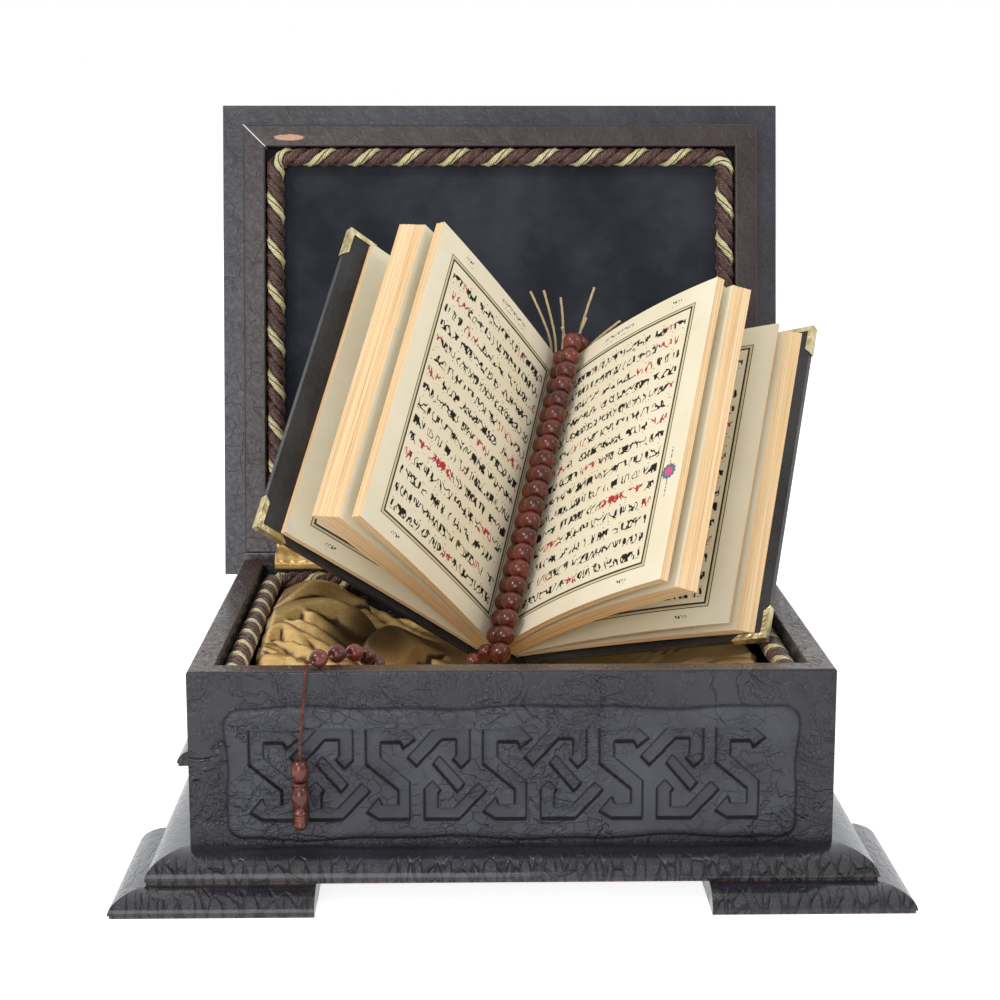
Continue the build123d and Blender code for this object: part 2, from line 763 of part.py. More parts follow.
# Satin nest: stations across the box, each with its heights over the seat at six depths and the
# crowns of its five folds
nest_depths = (0.0, 0.165, 0.335, 0.575, 0.785, 1.0)
nest_stations = [
    (-1.0, (22, 26, 29, 29, 27, 25), (2, 2, 2, 2, 2)),
    (-0.84, (22, 30, 33, 39, 36, 27), (3, 3, 3, 3, 3)),
    (-0.68, (21, 23, 29, 36, 31, 22), (3, 3, 5, 4, 3)),
    (-0.52, (19, 15, 18, 27, 21, 16), (2, 2, 7, 4, 3)),
    (-0.36, (10, 5, 6, 15, 9, 9), (1.5, 1.5, 10, 3, 2)),
    (-0.2, (6, 1, 1, 2, 3, 5), (1, 1, 3.5, 1.5, 1.5)),
    (-0.04, (4, 1, 0, 0, 0, 3), (1, 1, 0.8, 0.6, 1)),
    (0.16, (4, 1, 0, -0.8, 0, 3), (1, 1, 1, 0.8, 1)),
    (0.4, (6, 4, 3, 2, 5, 6), (2, 2, 2, 2, 2)),
    (0.64, (12, 12, 11, 12, 15, 14), (3, 3, 3, 3, 3)),
    (0.84, (22, 25, 18, 22, 24, 22), (3, 3, 4, 3, 3)),
    (1.0, (22, 26, 24, 24, 25, 24), (2, 2, 2, 2, 2)),
]
rope_inner = wall_thickness + 2 * rope_radius + rope_seat
nest_half_width = half_width - rope_inner - nest_margin
nest_front = rope_inner + nest_margin
nest_back = box_depth - rope_inner - nest_margin
resting_parts = ("book_spine", "book_cover_left", "book_cover_right")
book_low = min(book_parts[name].bounding_box().min.Z for name in resting_parts)
nest_seat = book_low - nest_seat_clearance


def nest_section(station, rises, crowns):
    """An upright slice of the nest: flat below, a row of shallow arcs above."""
    plane = Plane(origin=(station * nest_half_width, 0, 0), x_dir=(0, 1, 0), z_dir=(1, 0, 0))
    reach = nest_back - nest_front
    knots = [(nest_front + depth * reach, nest_seat + rise) for depth, rise in zip(nest_depths, rises)]
    edges = [Line((nest_back, base_top), (nest_front, base_top)), Line((nest_front, base_top), knots[0])]
    for near, far, crown in zip(knots, knots[1:], crowns):
        middle = ((near[0] + far[0]) / 2, (near[1] + far[1]) / 2 + crown)
        edges.append(ThreePointArc(near, middle, far))
    edges.append(Line(knots[-1], (nest_back, base_top)))
    return plane * make_face([edge for part in edges for edge in part.edges()])


box_parts["satin_nest"] = loft([nest_section(*station) for station in nest_stations])

# Satin strip: from behind the box rope over the back wall and up the lid's mating face
strip_line = [
    (back_inner - strip_stand_off, rim - strip_drop),
    (back_inner - strip_stand_off, rim + strip_rise),
    (back_inner + strip_shoulder[0], rim + strip_shoulder[1]),
    (box_depth + strip_crest[0], rim + strip_crest[1]),
    (box_depth + strip_end[0], rim + strip_end[1]),
]
strip_plane = Plane(origin=(0, 0, 0), x_dir=(0, 1, 0), z_dir=(1, 0, 0))
strip_path = strip_plane * FilletPolyline(*strip_line, radius=arc_radii(strip_line))
strip_start = Plane(origin=strip_path @ 0, x_dir=(1, 0, 0), z_dir=strip_path % 0)
strip_width = 2 * (inner_half_width - strip_side_room)
box_parts["satin_strip"] = sweep(strip_start * Rectangle(strip_width, strip_thickness), path=strip_path)

if __name__ == "__main__":
    os.makedirs("parts", exist_ok=True)
    placed = {**box_parts, **lid_parts, **book_parts}
    for name, piece in placed.items():
        export_step(Pos(0, -middle_y, 0) * piece, f"parts/{name}.step")
        print(name, len(piece.solids()), round(piece.volume, 1))
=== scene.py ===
from math import cos, pi, radians, sin, sqrt, tan

import bmesh
import bpy
import numpy as np
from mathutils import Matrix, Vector


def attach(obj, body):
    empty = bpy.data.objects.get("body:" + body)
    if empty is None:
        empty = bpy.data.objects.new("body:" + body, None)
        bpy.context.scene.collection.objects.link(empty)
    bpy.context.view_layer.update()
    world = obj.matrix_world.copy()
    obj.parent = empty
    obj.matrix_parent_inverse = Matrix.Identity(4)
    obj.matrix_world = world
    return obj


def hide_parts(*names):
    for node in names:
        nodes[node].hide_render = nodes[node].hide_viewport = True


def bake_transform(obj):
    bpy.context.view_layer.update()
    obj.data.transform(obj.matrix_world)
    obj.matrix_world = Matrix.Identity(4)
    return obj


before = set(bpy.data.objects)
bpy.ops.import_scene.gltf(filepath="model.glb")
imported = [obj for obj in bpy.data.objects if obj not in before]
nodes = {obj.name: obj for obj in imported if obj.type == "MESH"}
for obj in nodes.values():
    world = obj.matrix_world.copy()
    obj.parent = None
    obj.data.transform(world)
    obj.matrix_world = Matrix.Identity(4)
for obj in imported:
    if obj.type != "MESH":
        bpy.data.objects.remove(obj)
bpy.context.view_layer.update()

# The place from which the open box is seen
# A long lens, a little left of the middle and a hand's breadth above the book,
# looking down by some ten degrees.
camera = bpy.data.objects.new("camera", bpy.data.cameras.new("camera"))
bpy.context.scene.collection.objects.link(camera)
camera.data.lens = 71.67
camera.data.sensor_width = 36
camera.location = (-0.02211, -1.02858, 0.34672)
camera.rotation_euler = (radians(90 - 10.274), 0, radians(-1.06))
bpy.context.scene.camera = camera

# Bead string
# A limp twisted cord, 1 mm thick and 0.77 m long, from a knot on the front rim over the
# satin to the book, up its gutter, round the head, and back down to the same knot.
middle_y = 141.408
rim_to_book = [
    (-93.2, 1.0, 110.6), (-85.7, 10.1, 111.2), (-77.2, 20.2, 110.0), (-70.4, 29.6, 106.5), (-66.8, 37.8, 102.0),
    (-62.0, 41.8, 95.2), (-55.2, 43.2, 89.4), (-46.4, 44.4, 84.9), (-37.2, 47.6, 81.5), (-28.6, 52.8, 78.6),
    (-21.7, 60.2, 76.5), (-16.5, 69.0, 75.4), (-12.8, 78.4, 74.9), (-9.8, 88.0, 74.3), (-7.2, 97.6, 74.4),
    (-5.2, 106.9, 77.0),
]
up_the_gutter = [
    (-4.4, 110.9, 80.8), (8.2, 149.6, 124.3), (21.0, 188.5, 168.1), (32.1, 220.8, 204.6), (38.2, 238.9, 225.0),
    (40.8, 246.7, 233.7), (42.0, 250.2, 237.7),
]
round_the_head = [
    (43.4, 253.7, 234.4), (47.2, 263.2, 224.6), (40.8, 264.8, 223.9), (36.5, 256.1, 228.1), (33.4, 246.8, 217.7),
]
down_the_gutter = [(25.6, 223.1, 190.8), (15.0, 190.6, 154.3), (4.0, 158.3, 117.8), (-2.3, 140.2, 97.4)]
book_to_rim = [
    (-6.3, 128.1, 83.9), (-14.8, 123.6, 80.3), (-19.6, 115.8, 77.0), (-20.8, 106.0, 75.8), (-22.6, 96.1, 75.4),
    (-26.2, 86.8, 75.6), (-31.8, 78.6, 76.8), (-39.0, 72.0, 78.9), (-46.9, 66.6, 81.9), (-54.9, 61.8, 85.5),
    (-62.6, 56.4, 90.4), (-69.8, 48.4, 97.0), (-78.0, 33.0, 104.6), (-86.5, 19.0, 108.2), (-94.0, 9.4, 107.6),
    (-94.2, 1.3, 109.9),
]


def placed(points):
    """Points in millimetres from the front wall's foot, as metres about the middle of the whole object."""
    return (np.asarray(points, float) - (0, middle_y, 0)) / 1000


def unit(vectors):
    """Vectors divided by their own lengths."""
    return vectors / np.linalg.norm(vectors, axis=-1, keepdims=True)


def smooth_line(name, points):
    """The points of a smooth curve that takes the given points as its control points."""
    curve = bpy.data.curves.new(name, "CURVE")
    curve.dimensions = "3D"
    curve.resolution_u = 20
    spline = curve.splines.new("NURBS")
    spline.points.add(len(points) - 1)
    spline.points.foreach_set("co", np.c_[placed(points), np.ones(len(points))].ravel())
    spline.order_u = 3
    spline.use_endpoint_u = True
    guide = bpy.data.objects.new(name, curve)
    mesh = bpy.data.meshes.new_from_object(guide)
    line = np.empty(len(mesh.vertices) * 3)
    mesh.vertices.foreach_get("co", line)
    bpy.data.objects.remove(guide)
    bpy.data.meshes.remove(mesh)
    return line.reshape(-1, 3)


def evenly(line, step):
    """A line's points at equal steps along it: position by linear interpolation over the running length."""
    run = np.r_[0, np.cumsum(np.linalg.norm(np.diff(line, axis=0), axis=1))]
    places = np.linspace(0, run[-1], max(4, int(round(run[-1] / step))))
    return np.stack([np.interp(places, run, line[:, k]) for k in range(3)], 1), places


def add_piece(name, mesh, body, slot, *materials, stands_for=(), smooth=True):
    """An object at the origin with the given finishes, which rides on a body, if given. The slot is not used."""
    mesh.polygons.foreach_set("use_smooth", np.full(len(mesh.polygons), smooth))
    for material in materials:
        mesh.materials.append(material)
    piece = bpy.data.objects.new(name, mesh)
    bpy.context.scene.collection.objects.link(piece)
    if body:
        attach(piece, body)
    if stands_for:
        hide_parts(*stands_for)
    return piece


def grid_quads(rows, columns, close_rows=False, close_columns=False):
    """Corner numbers of the quads between neighbours of a grid; a closed direction joins its last line to its first."""
    i, j = np.meshgrid(
        np.arange(rows - (not close_rows)), np.arange(columns - (not close_columns)), indexing="ij"
    )
    near, far = (i % rows) * columns, ((i + 1) % rows) * columns
    return np.stack([near + j, far + j, far + (j + 1) % columns, near + (j + 1) % columns], -1).reshape(-1, 4)


def make_mesh(name, points, faces, outwards=True):
    """A mesh from an array of points and rows of corner numbers, its faces turned outwards if it is closed."""
    mesh = bpy.data.meshes.new(name)
    mesh.from_pydata(np.asarray(points).reshape(-1, 3).tolist(), [], [list(face) for face in faces])
    if outwards:
        shape = bmesh.new()
        shape.from_mesh(mesh)
        bmesh.ops.recalc_face_normals(shape, faces=shape.faces)
        shape.to_mesh(mesh)
        shape.free()
    return mesh


def set_uv(mesh, per_point):
    """One texture coordinate for each point, given to every face corner that uses it."""
    corners = np.empty(len(mesh.loops), int)
    mesh.loops.foreach_get("vertex_index", corners)
    layer = mesh.uv_layers.new(name="UVMap")
    layer.data.foreach_set("uv", np.asarray(per_point, float).reshape(-1, 2)[corners].ravel())


def twisted_strands(name, line, offset, radius, lead, strands, sides, sideways, step, knobs=0.0):
    """Strands wound round a line: each strand's middle is the line plus offset times (cos w, sin w) in the
    plane across it, with w one turn for each lead; its skin is a circle that swells by the knobs' share."""
    middle, run = evenly(line, step)
    along = unit(np.gradient(middle, axis=0))
    side = unit(np.cross(along, sideways))
    other = np.cross(along, side)
    points, faces, coordinates = [], [], []
    around = np.arange(sides) * 2 * pi / sides
    for strand in range(strands):
        turn = (2 * pi * (run / lead + strand / strands))[:, None]
        outward = np.cos(turn) * side + np.sin(turn) * other
        slant = unit(along + 2 * pi * offset / lead * (np.cos(turn) * other - np.sin(turn) * side))
        across = np.cross(slant, outward)
        swell = np.sin(run * 1900 + 2 * strand) * np.sin(run * 730 + strand)
        size = radius * (1 + knobs * swell[:, None] + 0 * around[None, :])
        skin = (
            (middle + offset * outward)[:, None]
            + size[..., None] * np.cos(around)[None, :, None] * outward[:, None]
            + size[..., None] * np.sin(around)[None, :, None] * across[:, None]
        )
        start = len(points) * len(run) * sides
        quads = grid_quads(len(run), sides, close_columns=True) + start
        ends = [list(range(start, start + sides)), list(range(start + (len(run) - 1) * sides, start + len(run) * sides))]
        points.append(skin)
        faces += quads.tolist() + ends
        coordinates.append(np.stack(np.broadcast_arrays(run[:, None], around[None, :] * radius), -1))
    mesh = make_mesh(name, np.concatenate(points), faces)
    set_uv(mesh, np.concatenate(coordinates))
    return mesh


class Tree:
    """A node tree, with short calls that each add one node and give back its output."""

    def __init__(self, tree):
        self.tree = tree

    def node(self, kind, inputs=(), **settings):
        """One shader node: settings first, then its inputs, each a value or another node's output."""
        made = self.tree.nodes.new("ShaderNode" + kind)
        for key, value in settings.items():
            setattr(made, key, value)
        for key, value in dict(inputs).items():
            if isinstance(value, bpy.types.NodeSocket):
                self.tree.links.new(value, made.inputs[key])
            else:
                made.inputs[key].default_value = value
        return made

    def sum(self, operation, *values):
        """A Math node on one to three values."""
        return self.node("Math", dict(enumerate(values)), operation=operation).outputs[0]

    def scaled(self, vector, x, y, z, turn=(0, 0, 0)):
        """A vector turned, then stretched along each axis."""
        return self.node("Mapping", {"Vector": vector, "Scale": (x, y, z), "Rotation": turn}).outputs[0]

    def noise(self, vector, scale, detail=3.0, rough=0.55, **settings):
        """Cloudy noise from 0 to 1."""
        inputs = {"Vector": vector, "Scale": scale, "Detail": detail, "Roughness": rough}
        return self.node("TexNoise", inputs, **settings).outputs[0]

    def cells(self, vector, scale, feature="F1", **settings):
        """Distance to the nearest cell's middle, or to its edge."""
        return self.node("TexVoronoi", {"Vector": vector, "Scale": scale}, feature=feature, **settings).outputs[0]

    def step(self, value, low, high, start=0.0, end=1.0):
        """A smooth step from start to end as the value goes from low to high."""
        inputs = {0: value, 1: low, 2: high, 3: start, 4: end}
        return self.node("MapRange", inputs, interpolation_type="SMOOTHSTEP").outputs[0]

    def blend(self, share, first, second, kind="MIX"):
        """Two colours mixed by a share from 0 to 1."""
        mix = self.node("Mix", data_type="RGBA", blend_type=kind)
        for key, value in ((0, share), (6, first), (7, second)):
            if isinstance(value, bpy.types.NodeSocket):
                self.tree.links.new(value, mix.inputs[key])
            else:
                mix.inputs[key].default_value = value
        return mix.outputs[2]

    def bump(self, height, depth, strength=1.0, below=None):
        """A bumped normal: height from 0 to 1 times a depth in metres."""
        inputs = {"Height": height, "Distance": depth, "Strength": strength}
        if below:
            inputs["Normal"] = below
        return self.node("Bump", inputs).outputs[0]


class Finish(Tree):
    """One material: a Principled shader with fixed values, whose changing inputs are set by name."""

    def __init__(self, name, **fixed):
        self.material = bpy.data.materials.new(name)
        self.material.use_nodes = True
        super().__init__(self.material.node_tree)
        self.shader = self.tree.nodes["Principled BSDF"]
        for key, value in fixed.items():
            self.shader.inputs[key.replace("_", " ").title().replace("Ior", "IOR")].default_value = value
        self.place = self.node("TexCoord")

    def connect(self, **outputs):
        for key, value in outputs.items():
            self.tree.links.new(value, self.shader.inputs[key.replace("_", " ").title()])
        return self.material


def effect(name, inputs, outputs):
    """A node group for an effect that several finishes share; its inputs have a default each, vectors have None."""
    group = bpy.data.node_groups.new(name, "ShaderNodeTree")
    for key, value in inputs.items():
        kind = "NodeSocketVector" if value is None else "NodeSocketFloat"
        socket = group.interface.new_socket(name=key, in_out="INPUT", socket_type=kind)
        if value is not None:
            socket.default_value = value
    for key in outputs:
        group.interface.new_socket(name=key, in_out="OUTPUT", socket_type="NodeSocketFloat")
    given = group.nodes.new("NodeGroupInput").outputs
    taken = group.nodes.new("NodeGroupOutput").inputs
    return group, Tree(group), given, taken


# Yarn: fine fibres that run round a strand on a slant. Height is a wave over the distance round
# the strand plus a share of the distance along it, broken by a little noise.
yarn, t, given, taken = effect("yarn", {"Place": None, "Fibres": 3000.0, "Slant": 0.6}, ["Height"])
parts = t.node("SeparateXYZ", {0: given["Place"]})
phase = t.sum("MULTIPLY_ADD", parts.outputs[0], given["Slant"], parts.outputs[1])
wander = t.noise(t.scaled(given["Place"], 400, 400, 400), 1.0, 2)
wave = t.sum("SINE", t.sum("MULTIPLY_ADD", phase, given["Fibres"], t.sum("MULTIPLY", wander, 5.0)))
yarn.links.new(t.sum("MULTIPLY_ADD", wave, 0.5, 0.5), taken["Height"])

cord_colour = Finish("red_brown_cord", roughness=0.6, specular_ior_level=0.4)
fibre = cord_colour.node(
    "Group", {"Place": cord_colour.place.outputs["UV"], "Fibres": 9000.0, "Slant": 1.0}, node_tree=yarn
).outputs[0]
patches = cord_colour.noise(cord_colour.place.outputs["Object"], 500, 3)
brown = cord_colour.blend(cord_colour.step(patches, 0.35, 0.7), (0.15, 0.035, 0.02, 1), (0.42, 0.13, 0.07, 1))
cord_finish = cord_colour.connect(
    base_color=cord_colour.blend(fibre, (0.07, 0.015, 0.01, 1), brown),
    normal=cord_colour.bump(fibre, 0.00015),
)

string_line = smooth_line("string line", rim_to_book + up_the_gutter + round_the_head + down_the_gutter + book_to_rim)
string = add_piece(
    "bead_string_twist",
    twisted_strands("bead_string_twist", string_line, 0.00024, 0.00029, 0.0026, 2, 7, (1, 0, 0), 0.0006),
    "book", "red_cord", cord_finish, stands_for=["bead_string"],
)

# Pendant cord
# The same cord, thicker: it hangs 57 mm from the knot over the front edge into the turned drop.
cord_route = [
    (-94.5, -1.9, 109.5), (-94.8, -4.3, 106.2), (-95.4, -5.0, 98.8), (-96.2, -5.7, 89.2), (-98.0, -7.2, 71.2),
    (-98.0, -7.2, 53.6),
]
cord_line = smooth_line("cord line", cord_route)
pendant_cord = add_piece(
    "pendant_cord_twist",
    twisted_strands("pendant_cord_twist", cord_line, 0.00036, 0.00038, 0.0042, 3, 9, (1, 0, 0), 0.0004),
    "book", "red_cord", cord_finish, stands_for=["pendant_cord"],
)

# Gilt threads
# Seven stiff gold-wrapped threads, 40 to 59 mm long, tucked behind the sewn back; they bend over
# the head of the book and stand up with bare ends.
book_lean, book_tilt = radians(41.6), radians(12.5)
spine_up = np.array([sin(book_tilt), sin(book_lean) * cos(book_tilt), cos(book_lean) * cos(book_tilt)])
gutter_out = np.array([0, -cos(book_lean), sin(book_lean)])
gutter_out = unit(gutter_out - spine_up * gutter_out.dot(spine_up))
across_book = np.cross(spine_up, gutter_out)
book_corner = np.array([-4.7, 141.3, 80.65])


def in_book(x, n, g):
    """A place x across the book, n out of the gutter and g up the spine, in the box's millimetres."""
    x, n, g = (np.asarray(value, float)[..., None] for value in (x, n, g))
    return book_corner + across_book * x + gutter_out * n + spine_up * g


thread_routes = [
    ((27.5, 263.0, 238.0), (16.6, 259.0, 260.5)), ((30.5, 264.0, 240.0), (24.3, 260.0, 261.0)),
    ((36.5, 264.0, 238.0), (34.0, 259.0, 257.0)), ((38.5, 261.0, 229.0), (34.6, 252.0, 240.5)),
    ((43.5, 264.0, 232.0), (48.8, 259.0, 245.4)), ((46.0, 265.0, 240.0), (53.4, 261.0, 262.6)),
    ((52.5, 263.0, 231.5), (68.2, 257.0, 243.7)),
]
gilt = Finish("gilt_thread_wrap", roughness=0.38, metallic=0.15)
wrap = gilt.node("Group", {"Place": gilt.place.outputs["UV"], "Fibres": 7000.0, "Slant": 2.2}, node_tree=yarn).outputs[0]
gilt_finish = gilt.connect(
    base_color=gilt.blend(wrap, (0.80, 0.54, 0.23, 1), (1.0, 0.90, 0.58, 1)), normal=gilt.bump(wrap, 0.00012)
)
threads = []
for number, (bend, tip) in enumerate(thread_routes):
    x = (number - 3) * 2.5
    n = sqrt(14.0**2 - x**2) - 17
    route = [in_book(x, n, 180.0), in_book(x, n, 195.0), bend, tip]
    line = smooth_line("thread line", route)
    name = f"gilt_thread_{number + 1}"
    mesh = twisted_strands(name, line, 0.00034, 0.00044, 0.0030, 3, 8, (1, 0, 0), 0.0004, knobs=0.22)
    thread = add_piece(name, mesh, "book", "gilt_thread", gilt_finish, stands_for=["gilt_threads"])
    length = float(np.linalg.norm(np.diff(line, axis=0), axis=1).sum())
    threads.append(thread)

# Beads
# Turned resin beads with flattened ends, polished: 41 of 11 mm in two rows up the gutter with one
# more that turns over the head, and 26 smaller ones of 9 mm between the book and the rim.


def turned_set(name, profile, origins, axes, sides):
    """One turned shape repeated at many places: each profile point (radius, height) swept round the axis."""
    axes = unit(np.asarray(axes, float))
    helper = np.where(np.abs(axes[:, :1]) > 0.9, (0.0, 1.0, 0.0), (1.0, 0.0, 0.0))
    side = unit(np.cross(axes, helper))
    other = np.cross(axes, side)
    around = np.arange(sides) * 2 * pi / sides
    radius, height = np.asarray(profile).T
    ring = np.cos(around)[:, None] * side[:, None] + np.sin(around)[:, None] * other[:, None]
    points = (
        np.asarray(origins)[:, None, None]
        + radius[None, :, None, None] * ring[:, None]
        + height[None, :, None, None] * axes[:, None, None]
    )
    one = grid_quads(len(profile), sides, close_columns=True)
    count = len(profile) * sides
    quads = (one[None] + np.arange(len(axes))[:, None, None] * count).reshape(-1, 4).tolist()
    for number in range(len(axes)):
        start = number * count
        quads += [list(range(start, start + sides)), list(range(start + count - sides, start + count))]
    return make_mesh(name, points, quads)


def bead_profile(radius, half_length, bore):
    """Half of a round bead's outline: from the bore over a small lip and round the ball to the other end."""
    turn = np.linspace(-1, 1, 17) * np.arcsin(half_length / radius)
    ball = np.c_[radius * np.cos(turn), radius * np.sin(turn)]
    dip = [(bore * 0.55, -half_length * 0.72), (bore, -half_length * 0.93)]
    return np.vstack([dip, ball, [(r, -h) for r, h in dip[::-1]]])


def on_line(line, targets):
    """The line's points nearest to the targets, and its direction there."""
    nearest = np.argmin(np.linalg.norm(line[None] - targets[:, None], axis=2), axis=1)
    return line[nearest], unit(np.gradient(line, axis=0))[nearest]


fine_line = evenly(string_line, 0.0002)[0]
front_row = placed(in_book(np.full(21, 4.6), np.full(21, 22.8), -14.3 + 10.15 * np.arange(21)))
back_row = placed(in_book(np.full(19, -0.2), np.full(19, 12.0), 0.6 + 10.15 * np.arange(19)))
turn_near, turn_far = placed(round_the_head[0]), placed(round_the_head[1])
turn_bead = (turn_near + 0.005 * unit(turn_far - turn_near))[None]
small_places = placed(
    [(np.array(a) + b) / 2 for a, b in zip(rim_to_book, rim_to_book[1:])]
    + [(np.array(a) + b) / 2 for a, b in list(zip(book_to_rim, book_to_rim[1:]))[:11]]
)

resin = Finish("polished_resin", roughness=0.30, coat_weight=0.6, coat_roughness=0.04, specular_ior_level=0.35)
cloud = resin.noise(resin.place.outputs["Object"], 90, 4)
speckle = resin.step(resin.noise(resin.place.outputs["Object"], 1400, 2), 0.62, 0.75)
resin_colour = resin.blend(resin.step(cloud, 0.35, 0.7), (0.070, 0.010, 0.006, 1), (0.20, 0.034, 0.017, 1))
resin_finish = resin.connect(
    base_color=resin.blend(resin.sum("MULTIPLY", speckle, 0.12), resin_colour, (0.45, 0.20, 0.13, 1)),
    normal=resin.bump(resin.noise(resin.place.outputs["Object"], 700, 3), 0.00004),
)
large, small = bead_profile(0.0056, 0.005, 0.0014), bead_profile(0.0044, 0.004, 0.0013)
for name, profile, targets, node in (
    ("beads_up_the_gutter", large, np.vstack([front_row, turn_bead]), "gutter_beads_front"),
    ("beads_down_the_gutter", large, back_row, "gutter_beads_back"),
    ("beads_to_the_rim", small, small_places, "small_beads"),
):
    origins, axes = on_line(fine_line, targets)
    mesh = turned_set(name, profile, origins, axes, 28)
    add_piece(name, mesh, "book", "red_bead", resin_finish, stands_for=[node])

# Knot
# Both ends of the string and the pendant's cord are tied in one small round knot on the rim.
u, v = np.meshgrid(np.linspace(0, 2 * pi, 240, endpoint=False), np.arange(7) * 2 * pi / 7, indexing="ij")
loop = np.stack([np.sin(u) + 2 * np.sin(2 * u), np.cos(u) - 2 * np.cos(2 * u), -np.sin(3 * u)], -1) * (0.30, 0.30, 0.55)
way = unit(np.gradient(loop[:, 0], axis=0))
flat = unit(np.cross(way, (0.1, 0.2, 1.0)))
knot_points = loop + 0.42 * (np.cos(v)[..., None] * flat[:, None] + np.sin(v)[..., None] * np.cross(way, flat)[:, None])
knot_mesh = make_mesh("string_knot_tied", placed((-94.35, -0.4, 110.5)) + knot_points / 1000, grid_quads(240, 7, True, True))
set_uv(knot_mesh, np.stack([u * 0.0015, v * 0.0004], -1))
knot = add_piece("string_knot_tied", knot_mesh, "book", "red_cord", cord_finish, stands_for=["string_knot"])

# Pendant
# Two turned pieces on the cord's end: a long bead, and a drop with a belly, a collar and a tip.
bead_turn = np.linspace(-1, 1, 15)
pendant_bead_profile = np.c_[2.2 + 1.9 * np.cos(bead_turn * pi / 2) ** 0.8, 60.9 + 5.1 * bead_turn]
pendant_bead_profile = np.vstack([(0.8, 55.8), (1.9, 55.7), pendant_bead_profile[1:-1], (1.9, 66.1), (0.8, 66.0)])
drop_profile = np.array([
    (0.7, 55.2), (1.9, 55.45), (3.3, 55.2), (3.6, 54.6), (3.2, 54.0), (2.5, 53.6), (3.0, 52.8), (3.9, 51.2),
    (4.3, 49.4), (4.25, 47.4), (3.6, 45.4), (2.7, 43.6), (2.3, 42.4), (2.6, 41.7), (3.3, 41.2), (3.4, 40.6), (3.1, 40.1),
    (2.7, 39.8), (2.9, 39.2), (2.9, 38.6), (2.6, 38.2), (2.9, 37.7), (2.95, 37.0), (2.6, 36.6), (2.9, 36.2), (3.2, 35.4),
    (3.1, 34.4), (2.4, 33.2), (1.2, 32.4), (0.1, 32.2),
])
for name, profile, node in (
    ("pendant_long_bead", pendant_bead_profile, "pendant_bead"), ("pendant_turned_drop", drop_profile, "pendant_drop")
):
    mesh = turned_set(name, profile / 1000, [placed((-98.0, -7.2, 0))], [(0, 0, 1)], 32)
    add_piece(name, mesh, "book", "red_bead", resin_finish, stands_for=[node])

# Box body in crackled leather
# Wooden walls, plinth and feet, each covered in black leather that was shrunk until it crackled.
# On the mouldings the cracks stand across the length; the raw lower edges show brown.

# Grain: cells with sunken edges. Height is the distance to the nearest cell edge, levelled off,
# with small pores; Cracks is 1 on the edges. The place comes in already stretched, which draws the cells out up and
# down.
grain, t, given, taken = effect(
    "leather_grain", {"Place": None, "Cells": 240.0, "Crack": 0.10, "Wander": 0.004, "Bare": 0.5}, ["Height", "Cracks"]
)
warp = t.node("TexNoise", {"Vector": given["Place"], "Scale": 90.0, "Detail": 3.0}).outputs["Color"]
warp = t.node("VectorMath", {0: warp, 1: (0.5, 0.5, 0.5)}, operation="SUBTRACT").outputs[0]
warp = t.node("VectorMath", {0: warp, "Scale": given["Wander"]}, operation="SCALE").outputs[0]
spot = t.node("VectorMath", {0: given["Place"], 1: warp}, operation="ADD").outputs[0]
edge = t.node("TexVoronoi", {"Vector": spot, "Scale": given["Cells"]}, feature="DISTANCE_TO_EDGE").outputs[0]
lift = t.node("MapRange", {0: edge, 1: 0.0, 2: given["Crack"]}, interpolation_type="SMOOTHSTEP").outputs[0]
broken = t.step(t.sum("SUBTRACT", t.noise(given["Place"], 60.0, 3), given["Bare"]), -0.12, 0.12)
cracks = t.sum("MULTIPLY", t.sum("SUBTRACT", 1.0, lift), broken)
pores = t.noise(given["Place"], 2200.0, 3)
grain.links.new(t.sum("SUBTRACT", t.sum("MULTIPLY", pores, 0.22), cracks), taken["Height"])
grain.links.new(cracks, taken["Cracks"])


# Veins: long thin wrinkles where a cloudy noise crosses its middle value, in patches.
veins, t, given, taken = effect("leather_veins", {"Place": None, "Scale": 38.0, "Width": 0.034}, ["Height"])
cloud = t.node("TexNoise", {"Vector": given["Place"], "Scale": given["Scale"], "Detail": 4.0, "Distortion": 0.8})
off_middle = t.sum("ABSOLUTE", t.sum("SUBTRACT", cloud.outputs[0], 0.5))
line = t.node("MapRange", {0: off_middle, 1: given["Width"], 2: 0.0}, interpolation_type="SMOOTHSTEP").outputs[0]
veins.links.new(t.sum("MULTIPLY", line, t.step(t.noise(given["Place"], 22.0, 2), 0.42, 0.6)), taken["Height"])


